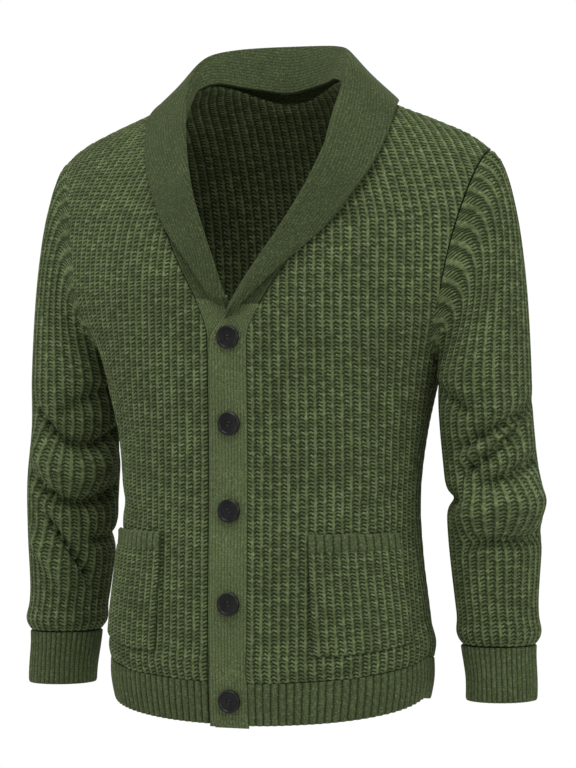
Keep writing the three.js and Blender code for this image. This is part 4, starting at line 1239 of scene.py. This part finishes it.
def fine_knit(name, ribs, melange, yarn_shades, look):
    """Fine rib; its look is the flecks and their grain, painted shade in the grooves, fuzz and bump distance
    in m.
    """
    material, tree, shader = start_material(name)
    wales, courses = knit_counts(tree)
    pattern = use_group(tree, ribs, Wales=wales, Courses=courses)
    base, light, dark = yarn_shades
    flecks, grain, groove_shade, fuzz, distance = look
    yarn = use_group(tree, melange, Yarn=base, Light_fleck=light, Dark_fleck=dark, Flecks=flecks, Grain=grain)
    # Painted shade: the grooves are mixed toward the dark stitch-gap colour.
    colour = tree.mix(tree.math("MULTIPLY", pattern.outputs["Groove shade"], groove_shade), yarn.outputs["Color"], STITCH_GAP_PAINTED_SHADE)
    height = tree.math("MULTIPLY_ADD", yarn.outputs["Fuzz"], fuzz, pattern.outputs["Height"])
    yarn_surface(tree, shader, colour, height, 0.5, distance)
    return material


def button_plastic():
    material, tree, shader = start_material("button_plastic")
    place = tree.node("ShaderNodeTexCoord").outputs["Object"]
    cloud = tree.noise(place, 90.0, 3.0)
    colour = tree.mix(tree.ramp(cloud, 0.35, 0.7), srgb(19, 19, 20), srgb(33, 32, 32))
    tree.feed(shader.inputs["Base Color"], colour)
    tree.feed(shader.inputs["Roughness"], tree.ramp(tree.noise(place, 400.0), 0.3, 0.7, 0.34, 0.5))
    shader.inputs["Specular IOR Level"].default_value = 0.35
    return material


def button_thread():
    material, tree, shader = start_material("button_thread")
    place = tree.node("ShaderNodeTexCoord").outputs["Object"]
    strands = tree.noise(place, 1800.0, 2.0)
    tree.feed(shader.inputs["Base Color"], tree.mix(strands, srgb(24, 26, 22), srgb(70, 72, 66)))
    shader.inputs["Roughness"].default_value = 0.8
    return material


def deselect_all():
    if bpy.context.mode != "OBJECT":
        bpy.ops.object.mode_set(mode="OBJECT")
    bpy.ops.object.select_all(action="DESELECT")


def pick_faces(piece, wanted):
    """Selects in edit mode the faces whose centre and normal pass a test."""
    bpy.ops.mesh.select_all(action="DESELECT")
    bpy.ops.object.mode_set(mode="OBJECT")
    for face in piece.data.polygons:
        face.select = wanted(face.center, face.normal)
    bpy.ops.object.mode_set(mode="EDIT")


def button_blank(name, material):
    """Four-hole button with a raised rim, its foot on the ground plane."""
    deselect_all()
    bpy.ops.mesh.primitive_cylinder_add(
        vertices=BUTTON_SIDES, radius=BUTTON_R * MM, depth=BUTTON_THICK * MM,
        location=(0, 0, BUTTON_THICK / 2 * MM),
    )
    piece = bpy.context.object
    piece.name = name
    bpy.ops.object.transform_apply(location=True, rotation=True, scale=True)
    bpy.ops.object.mode_set(mode="EDIT")
    bpy.ops.mesh.select_mode(type="FACE")
    pick_faces(piece, lambda centre, normal: normal.z > 0.9)
    bpy.ops.mesh.inset(thickness=0.9 * MM)
    bpy.ops.transform.translate(value=(0, 0, 0.8 * MM))
    bpy.ops.mesh.inset(thickness=1.3 * MM)
    bpy.ops.mesh.inset(thickness=0.9 * MM)
    bpy.ops.transform.translate(value=(0, 0, -1.3 * MM))
    bpy.ops.mesh.inset(thickness=3.4 * MM)
    bpy.ops.transform.translate(value=(0, 0, -0.25 * MM))
    pick_faces(piece, lambda centre, normal: normal.z < -0.9)
    bpy.ops.mesh.inset(thickness=1.6 * MM)
    bpy.ops.object.mode_set(mode="OBJECT")
    for x, y in ((-HOLE_OFF, -HOLE_OFF), (HOLE_OFF, -HOLE_OFF), (-HOLE_OFF, HOLE_OFF), (HOLE_OFF, HOLE_OFF)):
        deselect_all()
        bpy.ops.mesh.primitive_cylinder_add(
            vertices=20, radius=HOLE_R * MM, depth=12 * MM, location=(x * MM, y * MM, 2 * MM)
        )
        drill = bpy.context.object
        cut = piece.modifiers.new("hole", "BOOLEAN")
        cut.object = drill
        cut.operation = "DIFFERENCE"
        cut.solver = "EXACT"
        deselect_all()
        piece.select_set(True)
        bpy.context.view_layer.objects.active = piece
        bpy.ops.object.modifier_apply(modifier=cut.name)
        bpy.data.objects.remove(drill)
    soften = piece.modifiers.new("soft_edges", "BEVEL")
    soften.width = 0.28 * MM
    soften.segments = 3
    soften.limit_method = "ANGLE"
    soften.angle_limit = math.radians(28)
    bpy.ops.object.modifier_apply(modifier=soften.name)
    bpy.ops.object.shade_smooth_by_angle(angle=math.radians(40))
    piece.data.materials.clear()
    piece.data.materials.append(material)
    return piece


def thread_blank(name, material):
    """Two sewn bars of thread across the four holes."""
    parts = []
    for y in (-HOLE_OFF, HOLE_OFF):
        for strand in (-0.32, 0.32):
            deselect_all()
            bpy.ops.mesh.primitive_torus_add(
                major_segments=28, minor_segments=8, major_radius=HOLE_OFF * MM, minor_radius=0.36 * MM,
                location=(0, (y + strand) * MM, THREAD_Z * MM), rotation=(math.pi / 2, 0, 0),
            )
            loop = bpy.context.object
            bpy.ops.object.transform_apply(location=True, rotation=True, scale=True)
            bpy.ops.object.mode_set(mode="EDIT")
            bpy.ops.mesh.select_all(action="SELECT")
            bpy.ops.transform.resize(value=(1, 1, 0.62), center_override=(0, 0, THREAD_Z * MM))
            bpy.ops.object.mode_set(mode="OBJECT")
            parts.append(loop)
    deselect_all()
    for part in parts:
        part.select_set(True)
    bpy.context.view_layer.objects.active = parts[0]
    bpy.ops.object.join()
    piece = bpy.context.object
    piece.name = name
    bpy.ops.object.shade_smooth()
    piece.data.materials.clear()
    piece.data.materials.append(material)
    return piece


def set_on_band(blank, name, z, turn):
    """A copy of a blank with its own mesh, set on the button band at a height."""
    base = torso_skin(0.0001, z, False, 4.8) * MM
    out = torso_out(0.0001, z, False)
    aside = np.array([1.0, 0, 0])
    up = np.cross(out, aside)
    mesh = blank.data.copy()
    mesh.name = name
    points = np.zeros(len(mesh.vertices) * 3, np.float32)
    mesh.vertices.foreach_get("co", points)
    points = points.reshape(-1, 3)
    c, s = math.cos(turn), math.sin(turn)
    x, y = points[:, 0] * c - points[:, 1] * s, points[:, 0] * s + points[:, 1] * c
    placed = base + x[:, None] * aside + y[:, None] * up + points[:, 2:3] * out
    mesh.vertices.foreach_set("co", placed.astype(np.float32).ravel())
    mesh.update()
    piece = bpy.data.objects.new(name, mesh)
    bpy.context.scene.collection.objects.link(piece)
    return piece


CAMERA_AZIMUTH = math.radians(22)
CAMERA_FAR = 3.2
CAMERA_ASIDE = 0.0187
CAMERA_Z = -0.331
LENS = 136.4


def add_camera():
    """Camera level with the middle of the body, a little toward the wearer's left, as in the photo."""
    data = bpy.data.cameras.new("camera")
    data.type = "PERSP"
    data.lens = LENS
    data.sensor_width = 36
    data.clip_end = 60
    camera = bpy.data.objects.new("camera", data)
    bpy.context.scene.collection.objects.link(camera)
    s, c = math.sin(CAMERA_AZIMUTH), math.cos(CAMERA_AZIMUTH)
    camera.location = (CAMERA_FAR * s + CAMERA_ASIDE * c, -CAMERA_FAR * c + CAMERA_ASIDE * s, CAMERA_Z)
    camera.rotation_euler = (math.pi / 2, 0, CAMERA_AZIMUTH)
    bpy.context.scene.camera = camera


def add_light(name, place, size, power, target=(0, 0, -0.3)):
    data = bpy.data.lights.new(name, "AREA")
    data.shape = "DISK"
    data.size = size
    data.energy = power
    light = bpy.data.objects.new(name, data)
    bpy.context.scene.collection.objects.link(light)
    offset = np.array(place) - np.array(target)
    flat = math.hypot(offset[0], offset[1])
    light.location = place
    light.rotation_euler = (math.atan2(flat, offset[2]), 0, math.atan2(offset[0], -offset[1]))
    return light


def add_studio():
    """Pale floor, even surround and four soft lights."""
    deselect_all()
    bpy.ops.mesh.primitive_circle_add(vertices=96, radius=2.6, fill_type="NGON", location=(0, 0, -1.45))
    floor = bpy.context.object
    floor.name = "floor"
    material, tree, shader = start_material("pale_floor")
    place = tree.node("ShaderNodeTexCoord").outputs["Object"]
    pale = tree.mix(tree.noise(place, 3.0), srgb(240, 240, 238), srgb(246, 246, 245))
    tree.feed(shader.inputs["Base Color"], pale)
    shader.inputs["Roughness"].default_value = 0.9
    floor.data.materials.append(material)
    world = bpy.data.worlds.new("studio")
    bpy.context.scene.world = world
    world.use_nodes = True
    tree = Tree(world.node_tree)
    surround = world.node_tree.nodes["Background"]
    surround.inputs["Color"].default_value = (1, 1, 1, 1)
    path = tree.node("ShaderNodeLightPath")
    tree.feed(surround.inputs["Strength"], tree.ramp(path.outputs["Is Camera Ray"], 0.0, 1.0, 0.34, 1.02))
    add_light("overhead", (0.3, -1.0, 2.0), 1.8, 38)
    add_light("wearers_left", (2.4, -1.3, 0.3), 1.6, 16)
    add_light("wearers_right", (-2.6, -0.8, 0.3), 1.6, 19)
    add_light("behind", (0.2, 2.6, 1.0), 1.8, 16)
    bpy.context.scene.view_settings.view_transform = "Standard"


def dress(piece, nodes):
    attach(piece, "root")
    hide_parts(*nodes)


def build():
    add_camera()
    stitches, ribs, melange = make_chunky_stitches(), make_fine_rib(), make_melange()
    chunky = chunky_knit(stitches, melange)
    rib = fine_knit("cuff_and_hem_rib", ribs, melange, RIB_SHADES, RIB_LOOK)
    fine = fine_knit("band_knit", ribs, melange, BAND_SHADES, BAND_LOOK)
    # The collar knit is painted darker than the band: painted shade.
    folded = fine_knit("collar_knit", ribs, melange, COLLAR_PAINTED_SHADE_YARN, BAND_LOOK)

    def cloth(piece, nodes):
        dress(piece, nodes)

    cloth(front("front_left_knit", 1, chunky), ["front_left"])
    cloth(front("front_right_knit", -1, chunky), ["front_right"])
    cloth(back("back_knit", chunky), ["back"])
    cloth(sleeve("sleeve_left_knit", 1, FOLDS_LEFT, chunky), ["sleeve_left"])
    cloth(sleeve("sleeve_right_knit", -1, FOLDS_RIGHT, chunky), ["sleeve_right"])
    cloth(hem("hem_left_rib", 1, rib), ["hem_left"])
    cloth(hem("hem_right_rib", -1, rib), ["hem_right"])
    cloth(hem("hem_back_rib", 0, rib), ["hem_back"])
    cloth(cuff("cuff_left_rib", 1, rib), ["cuff_left"])
    cloth(cuff("cuff_right_rib", -1, rib), ["cuff_right"])
    cloth(band("button_band_knit", 1, fine), ["button_band"])
    cloth(band("under_band_knit", -1, fine), ["under_band"])
    cloth(collar("shawl_collar_knit", folded), ["shawl_collar"])
    cloth(pocket("pocket_left_knit", 1, (chunky, rib)), ["pocket_left"])
    cloth(pocket("pocket_right_knit", -1, (chunky, rib)), ["pocket_right"])
    plastic, sewing = button_plastic(), button_thread()
    blank, loops = button_blank("button_blank", plastic), thread_blank("thread_blank", sewing)
    for i, z in enumerate(BUTTON_Z):
        button = set_on_band(blank, f"button_{i + 1}_plastic", z, BUTTON_TURNS[i])
        thread = set_on_band(loops, f"button_{i + 1}_thread", z, BUTTON_TURNS[i])
        dress(button, [f"button_{i + 1}"])
        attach(thread, "root")
    for spare in (blank, loops):
        bpy.data.objects.remove(spare)
    add_studio()


build()
